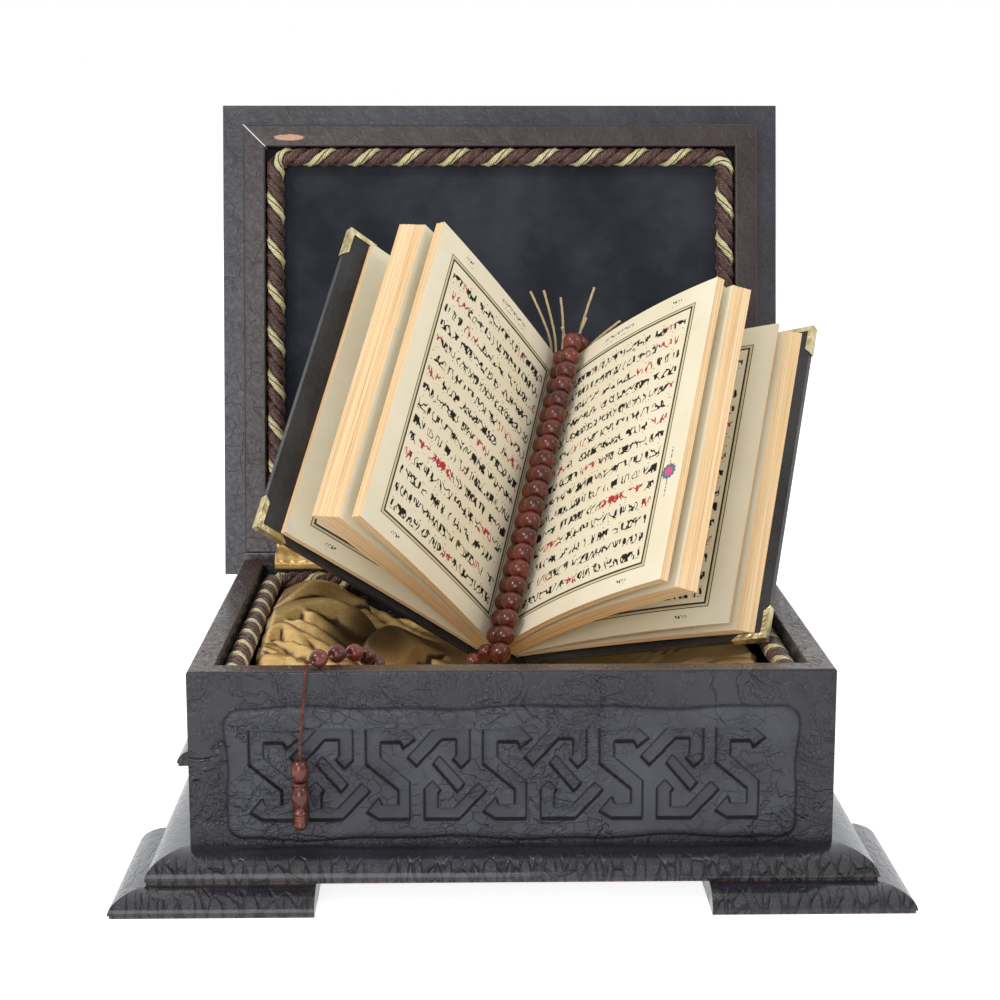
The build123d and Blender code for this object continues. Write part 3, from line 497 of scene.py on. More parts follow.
def leather(name, dark, light, stretch, cells, crack, share, depth, rough, vein_depth=0.0, kind="", coat=0.0):
    """Leather over wood: two tones in clouds, darker in the cracks by a share, and a grain drawn out by the
    stretch. A moulding's grain fades upwards and its lowest edge is raw; a wall has a painted brown reflection on top;
    a panel has painted shade on the channel walls that face up or sideways and on its outline, a painted highlight on
    the walls that face down, and veins only outside the sunk band."""
    f = Finish(name, specular_ior_level=0.35 if kind == "panel" else 0.5, coat_weight=coat, coat_roughness=0.14)
    spot = f.place.outputs["Object"]
    bare = 0.36 if kind == "moulding" else 0.50
    inputs = {"Place": f.scaled(spot, *stretch), "Cells": cells, "Crack": crack, "Wander": 0.005, "Bare": bare}
    lines = f.node("Group", inputs, node_tree=grain)
    cracks, raised = lines.outputs["Cracks"], lines.outputs["Height"]
    wrinkles = f.node("Group", {"Place": spot}, node_tree=veins).outputs[0]
    wear = f.step(f.noise(spot, 420, 4), 0.25, 0.8, rough - 0.1, rough + 0.12)
    deep = tuple(0.25 * value for value in dark[:3]) + (1,)
    tone = f.blend(f.step(f.noise(spot, 28, 5), 0.3, 0.7), dark, light)
    if kind == "moulding":
        height = f.node("SeparateXYZ", {0: spot}).outputs[2]
        on_plinth = f.sum("GREATER_THAN", height, 0.0105)
        above = f.sum("MULTIPLY_ADD", on_plinth, -0.0105, height)
        low = f.step(above, 0.0115, 0.0050)
        cracks, raised = f.sum("MULTIPLY", cracks, low), f.sum("MULTIPLY", raised, low)
        tone = f.blend(f.step(above, 0.0011, 0.0006), tone, (0.10, 0.048, 0.030, 1))
    # Painted reflection: the upward faces of a wall are blended 70 per cent towards brown, a painted reflection of the
    # gold satin.
    if kind == "wall":
        upward = f.step(f.node("SeparateXYZ", {0: f.place.outputs["Normal"]}).outputs[2], 0.6, 0.9)
        tone = f.blend(f.sum("MULTIPLY", upward, 0.7), tone, (0.085, 0.045, 0.036, 1))
    if kind == "panel":
        groove_shade = f.node("Attribute", attribute_name="groove_shade").outputs["Fac"]
        outside = f.node("Attribute", attribute_name="outside").outputs["Fac"]
        lit = f.node("Attribute", attribute_name="lit").outputs["Fac"]
        wrinkles = f.sum("MULTIPLY", wrinkles, outside)
        cracks, raised = f.sum("MULTIPLY", cracks, outside), f.sum("MULTIPLY", raised, outside)
        # Painted highlight: channel walls that face down are blended towards a light grey-blue.
        tone = f.blend(f.sum("MULTIPLY", lit, 0.8), tone, (0.11, 0.11, 0.135, 1))
        # Painted shade: channel walls that face up or sideways, and the panel's rolled outline, are blended nearly
        # black.
        tone = f.blend(f.sum("MULTIPLY", groove_shade, 0.97), tone, (0.002, 0.002, 0.003, 1))
        wear = f.sum("MULTIPLY_ADD", groove_shade, 0.35, wear)
    normal = f.bump(f.noise(spot, 110, 4), 0.0005)
    if vein_depth:
        fine = f.node("Group", {"Place": f.scaled(spot, 1, 1, 1.6), "Scale": 110.0, "Width": 0.07}, node_tree=veins).outputs[0]
        normal = f.bump(fine, -0.5 * vein_depth, below=f.bump(wrinkles, -vein_depth, below=normal))
    return f.connect(
        base_color=f.blend(f.sum("MULTIPLY", cracks, share), tone, deep),
        roughness=wear,
        normal=f.bump(raised, depth, below=normal),
    )


charcoal, slate = (0.012, 0.011, 0.015, 1), (0.023, 0.021, 0.028, 1)
wall_leather = leather(
    "wall_leather", charcoal, slate, (1, 1, 0.7), 420.0, 0.07, 0.20, 0.0002, 0.33, 0.0008, "wall",
    0.15,
)
long_moulding = leather(
    "moulding_leather_long", charcoal, slate, (1, 0.35, 0.35), 200.0, 0.12, 0.45, 0.0030, 0.24, 0.0, "moulding",
    0.7,
)
short_moulding = leather(
    "moulding_leather_short", charcoal, slate, (0.35, 1, 0.35), 200.0, 0.12, 0.45, 0.0030, 0.24, 0.0, "moulding",
    0.7,
)


def finish_nodes(material, *names):
    """The given finish on these nodes of the frame."""
    for name in names:
        for place in nodes[name].material_slots:
            place.material = material


finish_nodes(wall_leather, "front_wall", "back_wall", "left_wall", "right_wall")
finish_nodes(
    long_moulding, "plinth_front", "plinth_back", "foot_front_left", "foot_front_right", "foot_back_left",
    "foot_back_right",
)
finish_nodes(short_moulding, "plinth_left", "plinth_right")

# Base board
# A thin plain wooden board that lies on the plinth's inner ledge; it shows from below.
wood = Finish("bare_board", roughness=0.6)
rings = wood.noise(wood.scaled(wood.place.outputs["Object"], 12, 160, 160), 1.0, 5)
fine = wood.noise(wood.scaled(wood.place.outputs["Object"], 60, 1400, 1400), 1.0, 3)
board_colour = wood.blend(wood.step(rings, 0.3, 0.7), (0.40, 0.24, 0.12, 1), (0.58, 0.38, 0.20, 1))
wood_finish = wood.connect(
    base_color=wood.blend(wood.sum("MULTIPLY", fine, 0.4), board_colour, (0.25, 0.14, 0.07, 1)),
    normal=wood.bump(fine, 0.0002),
)
finish_nodes(wood_finish, "base_board")

# Raised leather panels with a knotwork band
# Padded leather is glued on each wall, its wavy edge rolled down to the wall. A band of interlaced
# straps is pressed into it: sunk channels with steep sides that pass under each other.
knot_pitch, knot_scale_x, knot_scale_z = 54.06, 2.155, 2.04
knot_channels = [
    [(0, 0.3), (38.5, 0.3), (50.5, 10.3), (37.5, 20.3), (34.5, 14), (15.5, 14), (15.5, 28.3), (44.5, 52.3),
     (44.5, 89.8), (12.5, 89.8), (0, 82.3), (13.5, 66.8), (16.5, 74.8), (32, 74.8), (32, 60.8), (0, 35.3)],
    [(41, 28.3), (67.5, 0.3), (104.5, 0.3), (104.5, 31.3), (95.5, 39.8), (86, 30.3), (90, 26.3), (90, 11.3),
     (76.5, 11.3), (50.5, 37.8)],
    [(66.5, 34.8), (73.5, 25.8), (99.5, 54.3), (91.5, 63.3)],
    [(58, 59.3), (66.5, 50.8), (75.5, 60.3), (72.5, 64.3), (72.5, 78.3), (87.5, 78.3), (112.5, 52.8), (121.5, 61.3),
     (93.5, 89.8), (58, 89.8)],
]


def inside_distance(x, z, corners):
    """How deep each point lies inside a closed outline, in the corners' own units; negative outside it."""
    best = np.full(x.shape, 1e9)
    inside = np.zeros(x.shape, bool)
    for (x0, z0), (x1, z1) in zip(corners, corners[1:] + corners[:1]):
        run = np.clip(((x - x0) * (x1 - x0) + (z - z0) * (z1 - z0)) / ((x1 - x0) ** 2 + (z1 - z0) ** 2), 0, 1)
        best = np.minimum(best, np.hypot(x - x0 - run * (x1 - x0), z - z0 - run * (z1 - z0)))
        if z0 != z1:
            inside ^= ((z0 > z) != (z1 > z)) & (x < (x1 - x0) * (z - z0) / (z1 - z0) + x0)
    return np.where(inside, best, -best)


def knot_depth(x, z, start, count, top):
    """How deep each point lies inside the nearest sunk channel of a band of the given count of repeats."""
    depth = np.full(x.shape, -1e9)
    for number in range(count):
        for kind, corners in enumerate(knot_channels):
            if number == count - 1 and kind:
                continue
            scaled = [(start + number * knot_pitch + a / knot_scale_x, top - b / knot_scale_z) for a, b in corners]
            depth = np.maximum(depth, inside_distance(x, z, scaled))
    return depth


def soft_step(value, low, high):
    """0 below low, 1 above high, smooth between."""
    share = np.clip((value - low) / (high - low), 0, 1)
    return share * share * (3 - 2 * share)


def panel_heights(x, z, width, height, bands, seed):
    """Height of a padded panel over its wall: a rolled edge along a wavy outline, less the sunk channels;
    a share that is 1 outside the channels; and one that is 1 along the outline."""
    lumps = np.random.default_rng(seed).uniform(0, 2 * pi, 8)
    wave_z = 0.9 * np.sin(x * 0.055 + lumps[0]) + 0.6 * np.sin(x * 0.13 + lumps[1])
    wave_x = 0.8 * np.sin(z * 0.09 + lumps[2]) + 0.5 * np.sin(z * 0.21 + lumps[3])
    corner = 9.0
    dx = np.abs(x) - (width / 2 - 1.5 + wave_x * 0.8) + corner
    dz = np.abs(z) - (height / 2 - 1.5 + wave_z * 0.8) + corner
    outside = np.hypot(np.maximum(dx, 0), np.maximum(dz, 0)) + np.minimum(np.maximum(dx, dz), 0) - corner
    rolled = 2.1 * np.clip(1 - (1 - np.clip(-outside / 5.5, 0, 1)) ** 2.6, 0, 1)
    ripple = 0.10 * np.sin(x * 0.31 + 1.7 * np.sin(z * 0.17 + lumps[4])) * np.sin(z * 0.23 + lumps[5])
    depth = np.full(x.shape, -1e9)
    for start, count, top in bands:
        depth = np.maximum(depth, knot_depth(x, z, start, count, top))
    sunk = 1.85 * soft_step(depth, -0.3, 0.75)
    lip = 0.18 * np.exp(-(((depth + 0.8) / 0.55) ** 2))
    border = 0.85 * np.exp(-(((outside + 1.1) / 0.7) ** 2))
    return np.where(outside < 0, rolled + ripple - sunk + lip, -0.4), soft_step(-depth, 0.3, 1.0), border


def sheet_solid(name, grid, lower):
    """A closed solid: the grid of points on top, its border dropped to the lower ring, and one face below."""
    rows, columns = grid.shape[:2]
    number = np.arange(rows * columns).reshape(rows, columns)
    border = np.r_[number[0, :-1], number[:-1, -1], number[-1, :0:-1], number[:0:-1, 0]]
    ring = rows * columns + np.arange(len(border))
    skirt = np.stack([border, ring, np.roll(ring, -1), np.roll(border, -1)], -1)
    points = np.vstack([grid.reshape(-1, 3), lower(grid.reshape(-1, 3)[border])])
    return make_mesh(name, points, grid_quads(rows, columns).tolist() + skirt.tolist() + [ring.tolist()])


def carved_panel(name, node, width, height, origin, right, up, bands, step, seed, material, slot, body):
    """A padded panel over a grid in the plane of right and up, raised along their cross product."""
    right, up, origin = (np.array(value, float) for value in (right, up, origin))
    out = np.cross(right, up)
    x, z = np.meshgrid(
        np.linspace(-width / 2, width / 2, int(width / step)), np.linspace(-height / 2, height / 2, int(height / step)),
        indexing="ij",
    )
    lift, outside, border = panel_heights(x, z, width, height, bands, seed)
    slope_x, slope_z = np.gradient(lift, step)
    # Painted shade mask: channel walls that face up, more faintly those that face sideways, and below the rolled
    # outline.
    groove_shade = np.clip(soft_step(-slope_z, 0.2, 0.8) + 0.7 * soft_step(np.abs(slope_x), 0.3, 1.2), 0, 1)
    # Painted highlight mask: channel walls that face down, away from the outline.
    lit = soft_step(slope_z, 0.6, 1.6) * (1 - border)
    groove_shade = np.maximum(groove_shade * (outside < 0.9), border)
    grid = (origin + x[..., None] * right + z[..., None] * up + lift[..., None] * out) / 1000
    mesh = sheet_solid(name, grid, lambda ring: ring - 0.0004 * out)
    for key, values in (("groove_shade", groove_shade), ("lit", lit), ("outside", outside)):
        layer = mesh.attributes.new(key, "FLOAT", "POINT")
        layer.data.foreach_set("value", np.r_[values.ravel(), np.zeros(len(mesh.vertices) - values.size)])
    return add_piece(name, mesh, body, slot, material, stands_for=[node])


panel_leather = leather(
    "panel_leather", (0.034, 0.034, 0.043, 1), (0.060, 0.060, 0.076, 1), (1, 1, 1), 150.0, 0.05, 0.35, 0.0003, 0.34,
    0.0009, "panel",
)
panel_middle = 23.1 + 0.4 + 34.0
band_top = 79.0 - panel_middle
carved_panel(
    "front_panel_carved", "front_leather_panel", 270, 68, (0, -middle_y, panel_middle), (1, 0, 0), (0, 0, 1),
    [(-122.0, 5, band_top)], 0.5, 3, panel_leather, "crackled_leather", "box",
)
carved_panel(
    "back_panel_carved", "back_leather_panel", 270, 68, (0, 250 - middle_y, panel_middle), (-1, 0, 0), (0, 0, 1),
    [(-119.8, 5, band_top)], 0.65, 5, panel_leather, "crackled_leather", "box",
)
for name, node, sign, seed in (("left_panel_carved", "left_leather_panel", -1, 7), ("right_panel_carved", "right_leather_panel", 1, 11)):
    carved_panel(
        name, node, 220, 68, (sign * 150, 125 - middle_y, panel_middle), (0, sign, 0), (0, 0, 1),
        [(-92.8, 4, band_top)], 0.65, seed, panel_leather, "crackled_leather", "box",
    )

# Rope trims
# Thick rope of three strands, one cream and two brown, laid round the inside of the box and of the
# lid. Each strand is itself of three yarns, so its skin has shallow lobes.


def rope_line(width, depth, corner, middle, right, up, step=0.6):
    """A rounded rectangle as a closed line: straight sides and quarter circles, worked out over one run length."""
    straight_x, straight_y = width - 2 * corner, depth - 2 * corner
    quarter = corner * pi / 2
    total = 2 * (straight_x + straight_y) + 4 * quarter
    run = np.linspace(0, total, int(total / step), endpoint=False)
    points = np.zeros((len(run), 2))
    at, place, angle = 0.0, np.array([-straight_x / 2, -depth / 2]), 0.0
    for length in (straight_x, quarter, straight_y, quarter) * 2:
        here = (run >= at) & (run < at + length)
        part = (run[here] - at)[:, None]
        ahead, left = np.array([cos(angle), sin(angle)]), np.array([-sin(angle), cos(angle)])
        if length == quarter:
            turn = part / corner
            points[here] = place + corner * (np.sin(turn) * ahead + (1 - np.cos(turn)) * left)
            place, angle = place + corner * (ahead + left), angle + pi / 2
        else:
            points[here] = place + part * ahead
            place = place + length * ahead
        at += length
    return (np.array(middle) + points[:, :1] * np.array(right) + points[:, 1:] * np.array(up)) / 1000, run / 1000, total / 1000


def rope(name, line, run, total, plane_normal, strands, lead, sides=18):
    """Strands laid round a closed line: their middles lie 2.9 mm from it and turn once for each lead, which is
    rounded so that the turns close."""
    turns = round(total / lead)
    along = unit(np.roll(line, -1, 0) - np.roll(line, 1, 0))
    normal = np.broadcast_to(np.asarray(plane_normal, float), along.shape)
    side = np.cross(along, normal)
    around = np.arange(sides) * 2 * pi / sides
    points, faces, coordinates = [], [], []
    for order, strand in enumerate(strands):
        turn = (2 * pi * (turns * run / total + strand / 3))[:, None]
        outward = np.cos(turn) * side + np.sin(turn) * normal
        slant = unit(along + 2 * pi * turns * 0.0029 / total * (np.cos(turn) * normal - np.sin(turn) * side))
        across = np.cross(slant, outward)
        lobe = 0.0025 * (1 + 0.09 * np.cos(3 * around[None] + 4 * turn) - 0.04)[..., None]
        skin = (line + 0.0029 * outward)[:, None] + lobe * (
            np.cos(around)[None, :, None] * outward[:, None] + np.sin(around)[None, :, None] * across[:, None]
        )
        points.append(skin)
        faces += (grid_quads(len(run), sides, True, True) + order * len(run) * sides).tolist()
        coordinates.append(np.stack(np.broadcast_arrays(run[:, None], around[None] * 0.002), -1))
    mesh = make_mesh(name, np.concatenate(points), faces)
    set_uv(mesh, np.concatenate(coordinates))
    return mesh


def yarn_finish(name, shade, middle, bright):
    """Lustrous yarn: painted shade between the fibres, two tones on them, painted shade on the side of each strand
    turned in towards the rope's line, and a soft sheen.
    """
    f = Finish(name, roughness=0.34, sheen_weight=0.25, sheen_roughness=0.4, specular_ior_level=0.5)
    fibre = f.node("Group", {"Place": f.place.outputs["UV"], "Fibres": 5200.0, "Slant": 0.55}, node_tree=yarn).outputs[0]
    patches = f.step(f.noise(f.place.outputs["Object"], 260, 4), 0.35, 0.68)
    turned_in = f.sum("COSINE", f.sum("MULTIPLY", f.node("SeparateXYZ", {0: f.place.outputs["UV"]}).outputs[1], 500.0))
    # Painted shade: the shade tone fills the dips between the fibres.
    tone = f.blend(f.step(fibre, 0.1, 0.8), shade, f.blend(patches, middle, bright))
    # Painted shade: the side of each strand that turns in towards the rope's line is blended nearly black.
    painted_gap_shade = f.step(turned_in, 0.55, 0.0)
    return f.connect(base_color=f.blend(painted_gap_shade, tone, (0.012, 0.006, 0.004, 1)), normal=f.bump(fibre, 0.00040))


cream_yarn = yarn_finish("cream_yarn", (0.50, 0.40, 0.15, 1), (0.80, 0.71, 0.36, 1), (0.95, 0.90, 0.58, 1))
brown_yarn = yarn_finish("brown_yarn", (0.030, 0.008, 0.005, 1), (0.125, 0.038, 0.022, 1), (0.27, 0.10, 0.062, 1))
lid_lean = radians(99.4 - 90)
lid_up = np.array([0, sin(lid_lean), cos(lid_lean)])
lid_face = np.array([0, -cos(lid_lean), sin(lid_lean)])
hinge_place = np.array([0, 252.6 - middle_y, 106.25])


def on_lid(x, y, z):
    """A place of the closed lid, in the box's millimetres, where it comes to when the lid stands open."""
    x, y, z = (np.asarray(value, float)[..., None] for value in (x, y, z))
    return hinge_place + x * np.array([1.0, 0, 0]) + (252.6 - y) * lid_up - (z - 106.25) * lid_face


rope_places = (
    ("box_rope", 275 - 11.2, 225 - 11.2, (0, 125 - middle_y, 96.9), (0, 1, 0), (0, 0, 1), "box", 0.0225),
    ("lid_rope", 274 - 11.2, 224 - 11.2, on_lid(0, 125, 110.6), lid_up, -lid_face, "lid", 0.0262),
)
for name, width, depth, middle, up, normal, body, lead in rope_places:
    line, run, total = rope_line(width, depth, 8.0, middle, (1, 0, 0), up)
    for kind, strands, material in (("cream_strand", [0], cream_yarn), ("brown_strands", [1, 2], brown_yarn)):
        mesh = rope(f"{name}_{kind}", line, run, total, normal, strands, lead)
        add_piece(f"{name}_{kind}", mesh, body, "striped_rope", material, stands_for=[name])

# Hinges
# Pressed brass butt hinges with loose pins, screwed to the back wall and to the lid's back rail.
brass = Finish("hinge_brass_sheet", roughness=0.34, metallic=1.0)
stain = brass.noise(brass.place.outputs["Object"], 120, 5)
scratch = brass.noise(brass.scaled(brass.place.outputs["Object"], 200, 4000, 4000), 1.0, 2)
brass_finish = brass.connect(
    base_color=brass.blend(brass.step(stain, 0.35, 0.7), (0.50, 0.34, 0.13, 1), (0.72, 0.55, 0.26, 1)),
    normal=brass.bump(scratch, 0.00006),
)
finish_nodes(
    brass_finish, "hinge_leaf_box_left", "hinge_leaf_box_right", "hinge_pin_left", "hinge_pin_right", "hinge_screws_box",
    "hinge_leaf_lid_left", "hinge_leaf_lid_right", "hinge_screws_lid",
)

# Satin nest
# Gold satin over padding fills the box up to the rope: high, gathered folds at the ends and corners,
# and a pressed hollow in the middle where the book and the beads lie.
nest_depths = np.array([0.0, 0.165, 0.335, 0.575, 0.785, 1.0])
nest_stations = [
    (-1.0, (22, 26, 29, 29, 27, 25)), (-0.84, (22, 30, 33, 39, 36, 27)), (-0.68, (21, 23, 29, 36, 31, 22)),
    (-0.52, (19, 15, 18, 27, 21, 16)), (-0.36, (10, 5, 6, 15, 9, 9)), (-0.2, (6, 1, 1, 2, 3, 5)),
    (-0.04, (4, 1, 0, 0, 0, 3)), (0.16, (4, 1, 0, -0.8, 0, 3)), (0.4, (6, 4, 3, 2, 5, 6)),
    (0.64, (12, 12, 11, 12, 15, 14)), (0.84, (22, 25, 18, 22, 24, 22)), (1.0, (22, 26, 24, 24, 25, 24)),
]
nest_half, nest_front, nest_back, nest_seat, nest_floor = 125.3, 24.7, 225.3, 68.5, 29.1


def through(places, values, at):
    """A smooth curve through given values: cubic pieces whose slopes are those between the neighbours."""
    slopes = np.gradient(values, places, axis=0)
    k = np.clip(np.searchsorted(places, at) - 1, 0, len(places) - 2)
    span = places[k + 1] - places[k]
    s = (at - places[k]) / span
    shape = (-1,) + (1,) * (values.ndim - 1)
    s, span = s.reshape(shape), span.reshape(shape)
    return (
        values[k] * (2 * s**3 - 3 * s**2 + 1) + values[k + 1] * (3 * s**2 - 2 * s**3)
        + span * (slopes[k] * (s**3 - 2 * s**2 + s) + slopes[k + 1] * (s**3 - s**2))
    )


nest_x = np.linspace(-nest_half, nest_half, 300)
nest_y = np.linspace(nest_front, nest_back, 240)
rises = np.array([rise for _, rise in nest_stations], float)
along_x = through(np.array([place for place, _ in nest_stations]), rises, nest_x / nest_half)
nest_z = through(nest_depths, along_x.T, (nest_y - nest_front) / (nest_back - nest_front)).T + nest_seat
x, y = np.meshgrid(nest_x, nest_y, indexing="ij")

# Rolled folds: the crest of each as points (x, y, z), and the radius of its roll. The long ones lie
# on the left, where the satin shows most; short pleats are pinched against the rope beside the front.
rolled_folds = [
    ([(-128, 94, 96), (-123, 106, 100), (-116, 113, 102), (-109, 107, 99.5), (-104, 97, 94), (-100, 86, 88)], 4.5),
    ([(-124, 66, 94), (-117, 65, 97.5), (-109, 69, 95), (-104, 76, 91)], 6),
    ([(-128, 122, 100), (-117, 140, 104), (-106, 152, 105), (-94, 158, 104), (-84, 156, 100)], 8),
    ([(-119, 146, 104), (-114, 158, 109), (-108, 170, 113), (-100, 184, 112), (-88, 196, 107)], 5),
    ([(-126, 168, 102), (-119, 185, 106), (-108, 203, 104), (-92, 214, 99)], 6),
    ([(-72, 84, 84), (-69, 100, 92), (-64, 118, 97), (-57, 138, 95), (-47, 152, 88), (-38, 166, 82)], 6),
    ([(-96, 40, 92), (-84, 52, 88), (-78, 68, 86), (-82, 86, 88)], 7),
    ([(112, 38, 94), (114, 52, 98), (112, 66, 98.5), (105, 80, 95)], 5),
    ([(122, 90, 95), (112, 104, 93), (98, 112, 90), (84, 108, 85)], 7),
    ([(124, 140, 96), (112, 156, 95), (98, 176, 95), (92, 196, 93)], 7),
]
for pleat in range(4):
    spread = radians(48 - 32 * pleat)
    tip = (-131 + 15 * cos(spread), 80 + 15 * sin(spread), 96.5)
    rolled_folds.append(([(-129, 80, 97), ((-129 + tip[0]) / 2, (80 + tip[1]) / 2, 98), tip], 3.2))


def rolled(x, y, crest, roll):
    """Height of a rolled fold: the highest, over the points of its crest, of z less d squared over twice its roll."""
    line = through(np.linspace(0, 1, len(crest)), np.array(crest, float), np.linspace(0, 1, 50))
    gap = (x[..., None] - line[:, 0]) ** 2 + (y[..., None] - line[:, 1]) ** 2
    return (line[:, 2] - gap / (2 * roll)).max(-1)


def higher(first, second, blend):
    """The higher of two surfaces, rounded where they meet: half their sum and half the root of gap² + blend²."""
    return (first + second + np.sqrt((first - second) ** 2 + blend**2)) / 2


drift = np.sin(0.041 * x + 0.9 * np.sin(0.033 * y + 1)) + 0.7 * np.sin(0.057 * y + 1.2 * np.sin(0.029 * x))
flow = np.cos(pi * (0.030 * x + 0.046 * y) + 1.3 * drift) ** 2
small = np.cos(pi * (0.09 * x - 0.06 * y) + 2.6 * drift) ** 2
free = soft_step(nest_z - nest_seat, 3.0, 15.0)
hollow = np.exp(-(((x + 72) / 25) ** 2) - ((y - 128) / 38) ** 2)
surface = nest_z - free * (3.0 + 15 * hollow + 5.5 * (1 - flow) * (1 - hollow) + 0.8 * (1 - small) * (1 - hollow))
for crest, roll in rolled_folds:
    surface = higher(surface, rolled(x, y, crest, roll), 1.3)
roof = nest_z + 0.3 + 3.7 * soft_step(-x, 84, 96)
surface = np.minimum(surface, roof)
edge = np.minimum.reduce([x + nest_half, nest_half - x, y - nest_front, nest_back - y])
nest_z = surface - 0.15 - 3.0 * (1 - soft_step(edge, 0, 4))
bend_x = np.gradient(np.gradient(nest_z, nest_x, axis=0), nest_x, axis=0)
bend_y = np.gradient(np.gradient(nest_z, nest_y, axis=1), nest_y, axis=1)
# Painted shade: a share that is 1 in the troughs between the folds and in the hollow, where the satin is darkened.
fold_shade = np.clip(soft_step(bend_x + bend_y, 0.05, 0.45) + 0.9 * soft_step(hollow, 0.15, 0.8), 0, 1)

satin = Finish("gold_satin", roughness=0.28, metallic=0.4, specular_ior_level=0.6)
spot = satin.place.outputs["Object"]
weave = satin.sum("SINE", satin.sum("MULTIPLY", satin.node("SeparateXYZ", {0: spot}).outputs[0], 9000.0))
slubs = satin.noise(satin.scaled(spot, 30, 900, 900), 1.0, 3)
gold = satin.blend(satin.step(slubs, 0.35, 0.7), (0.66, 0.41, 0.135, 1), (0.82, 0.545, 0.21, 1))
# Painted shade: the satin is blended towards dark brown where it turns away from the view.
turned = satin.node("LayerWeight", {"Blend": 0.45}).outputs["Facing"]
gold = satin.blend(satin.step(turned, 0.35, 0.95, 0.0, 0.8), gold, (0.21, 0.095, 0.035, 1))
# Painted shade: the troughs and the hollow are blended nearly black-brown.
fold_shade_share = satin.node("Attribute", attribute_name="fold_shade").outputs["Fac"]
satin_finish = satin.connect(
    base_color=satin.blend(satin.sum("MULTIPLY", fold_shade_share, 0.95), gold, (0.034, 0.014, 0.006, 1)),
    normal=satin.bump(weave, 0.00002, below=satin.bump(satin.noise(spot, 40, 2), 0.0008)),
)
nest_grid = placed(np.stack([x, y, nest_z], -1))


def down_to_board(ring):
    """The nest's border set on the base board."""
    return np.c_[ring[:, :2], np.full(len(ring), nest_floor / 1000)]


nest_mesh = sheet_solid("satin_nest_folds", nest_grid, down_to_board)
layer = nest_mesh.attributes.new("fold_shade", "FLOAT", "POINT")
layer.data.foreach_set("value", np.r_[fold_shade.ravel(), np.zeros(len(nest_mesh.vertices) - fold_shade.size)])
nest = add_piece("satin_nest_folds", nest_mesh, "box", "satin", satin_finish, stands_for=["satin_nest"])

# Satin strip over the hinge line
# A hemmed strip of the same satin, glued behind the rope, drawn over the back wall and up the
# lid's mating face; it is made bent over the hinge line and stays where it is when the lid turns.
strip_line = np.array([(236.6, 102.9), (236.6, 106.8), (240.0, 110.0), (251.5, 113.0), (253.6, 122.5)])
strip_way = np.linspace(0, 1, 29)
strip_run = np.r_[0, np.cumsum(np.hypot(*np.diff(strip_line, axis=0).T))]
strip_yz = through(strip_run / strip_run[-1], strip_line, strip_way)
slope = unit(np.gradient(strip_yz, axis=0))
strip_x = np.linspace(-131, 131, 264)
sx, sw = np.meshgrid(strip_x, strip_way, indexing="ij")
pucker = (0.5 * np.sin(sx * 0.42 + 2 * np.sin(sx * 0.07)) + 0.25 * np.sin(sx * 1.1 + sw * 9)) * np.sin(pi * sw) ** 0.5
strips = []
for lift in (0.3, -0.3):
    off = pucker + lift
    strips.append(np.stack([sx, strip_yz[None, :, 0] - off * slope[None, :, 1], strip_yz[None, :, 1] + off * slope[None, :, 0]], -1))
rows, columns = sx.shape
count = rows * columns
number = np.arange(count).reshape(rows, columns)
border = np.r_[number[0, :-1], number[:-1, -1], number[-1, :0:-1], number[:0:-1, 0]]
upper = grid_quads(rows, columns)
sides = np.stack([border, border + count, np.roll(border, -1) + count, np.roll(border, -1)], -1)
strip_mesh = make_mesh(
    "satin_strip_cloth", placed(np.concatenate([s.reshape(-1, 3) for s in strips])),
    np.vstack([upper, upper[:, ::-1] + count, sides]).tolist(),
)
strip = add_piece("satin_strip_cloth", strip_mesh, None, "satin", satin_finish, stands_for=["satin_strip"])
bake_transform(strip)

# Lid
# A board and four mitred rails in smooth brown leather, a velvet panel glued inside, and a raised
# panel with two knotwork bands outside.
board_leather = leather(
    "lid_board_leather", (0.029, 0.027, 0.033, 1), (0.044, 0.041, 0.050, 1), (1, 1, 1), 90.0, 0.02, 0.3, 0.0001, 0.34
)
rail_leather = leather(
    "lid_rail_leather", (0.028, 0.017, 0.018, 1), (0.043, 0.027, 0.027, 1), (1, 1, 1), 90.0, 0.02, 0.3, 0.0001, 0.34
)


def lid_patch(material, shape, colour):
    """A small patch of another colour; shape makes its mask from x and the distance from the lid's front edge."""
    f = Tree(material.node_tree)
    shader = f.tree.nodes["Principled BSDF"]
    spot = f.node("TexCoord").outputs["Object"]
    from_hinge = f.node("VectorMath", {0: spot, 1: tuple(hinge_place / 1000)}, operation="SUBTRACT").outputs[0]
    run = f.node("VectorMath", {0: from_hinge, 1: tuple(lid_up)}, operation="DOT_PRODUCT").outputs["Value"]
    x = f.node("SeparateXYZ", {0: spot}).outputs[0]
    outwards = f.node("VectorMath", {0: from_hinge, 1: tuple(lid_face)}, operation="DOT_PRODUCT").outputs["Value"]
    inner_side = f.sum("GREATER_THAN", outwards, -0.0168)
    mask = shape(f, x, f.sum("SUBTRACT", 0.2526, run), f.noise(spot, 500, 3))
    mask = f.sum("MULTIPLY", mask, inner_side)
    old = shader.inputs["Base Color"].links[0].from_socket
    f.tree.links.new(f.blend(mask, old, colour), shader.inputs["Base Color"])


def painted_edge_highlight(f, x, y, cloud):
    """Painted highlight along the foot of the rails: 1 within half a millimetre outside the rails' rectangle of 300 by
    250 mm.
    """
    side = f.sum("SUBTRACT", f.sum("ABSOLUTE", x), 0.150)
    end = f.sum("SUBTRACT", f.sum("ABSOLUTE", f.sum("SUBTRACT", y, 0.125)), 0.125)
    off = f.sum("ABSOLUTE", f.sum("SUBTRACT", f.sum("MAXIMUM", side, end), 0.0006))
    return f.sum("MULTIPLY", f.step(off, 0.0006, 0.0003), f.step(cloud, 0.3, 0.6, 0.25, 0.9))


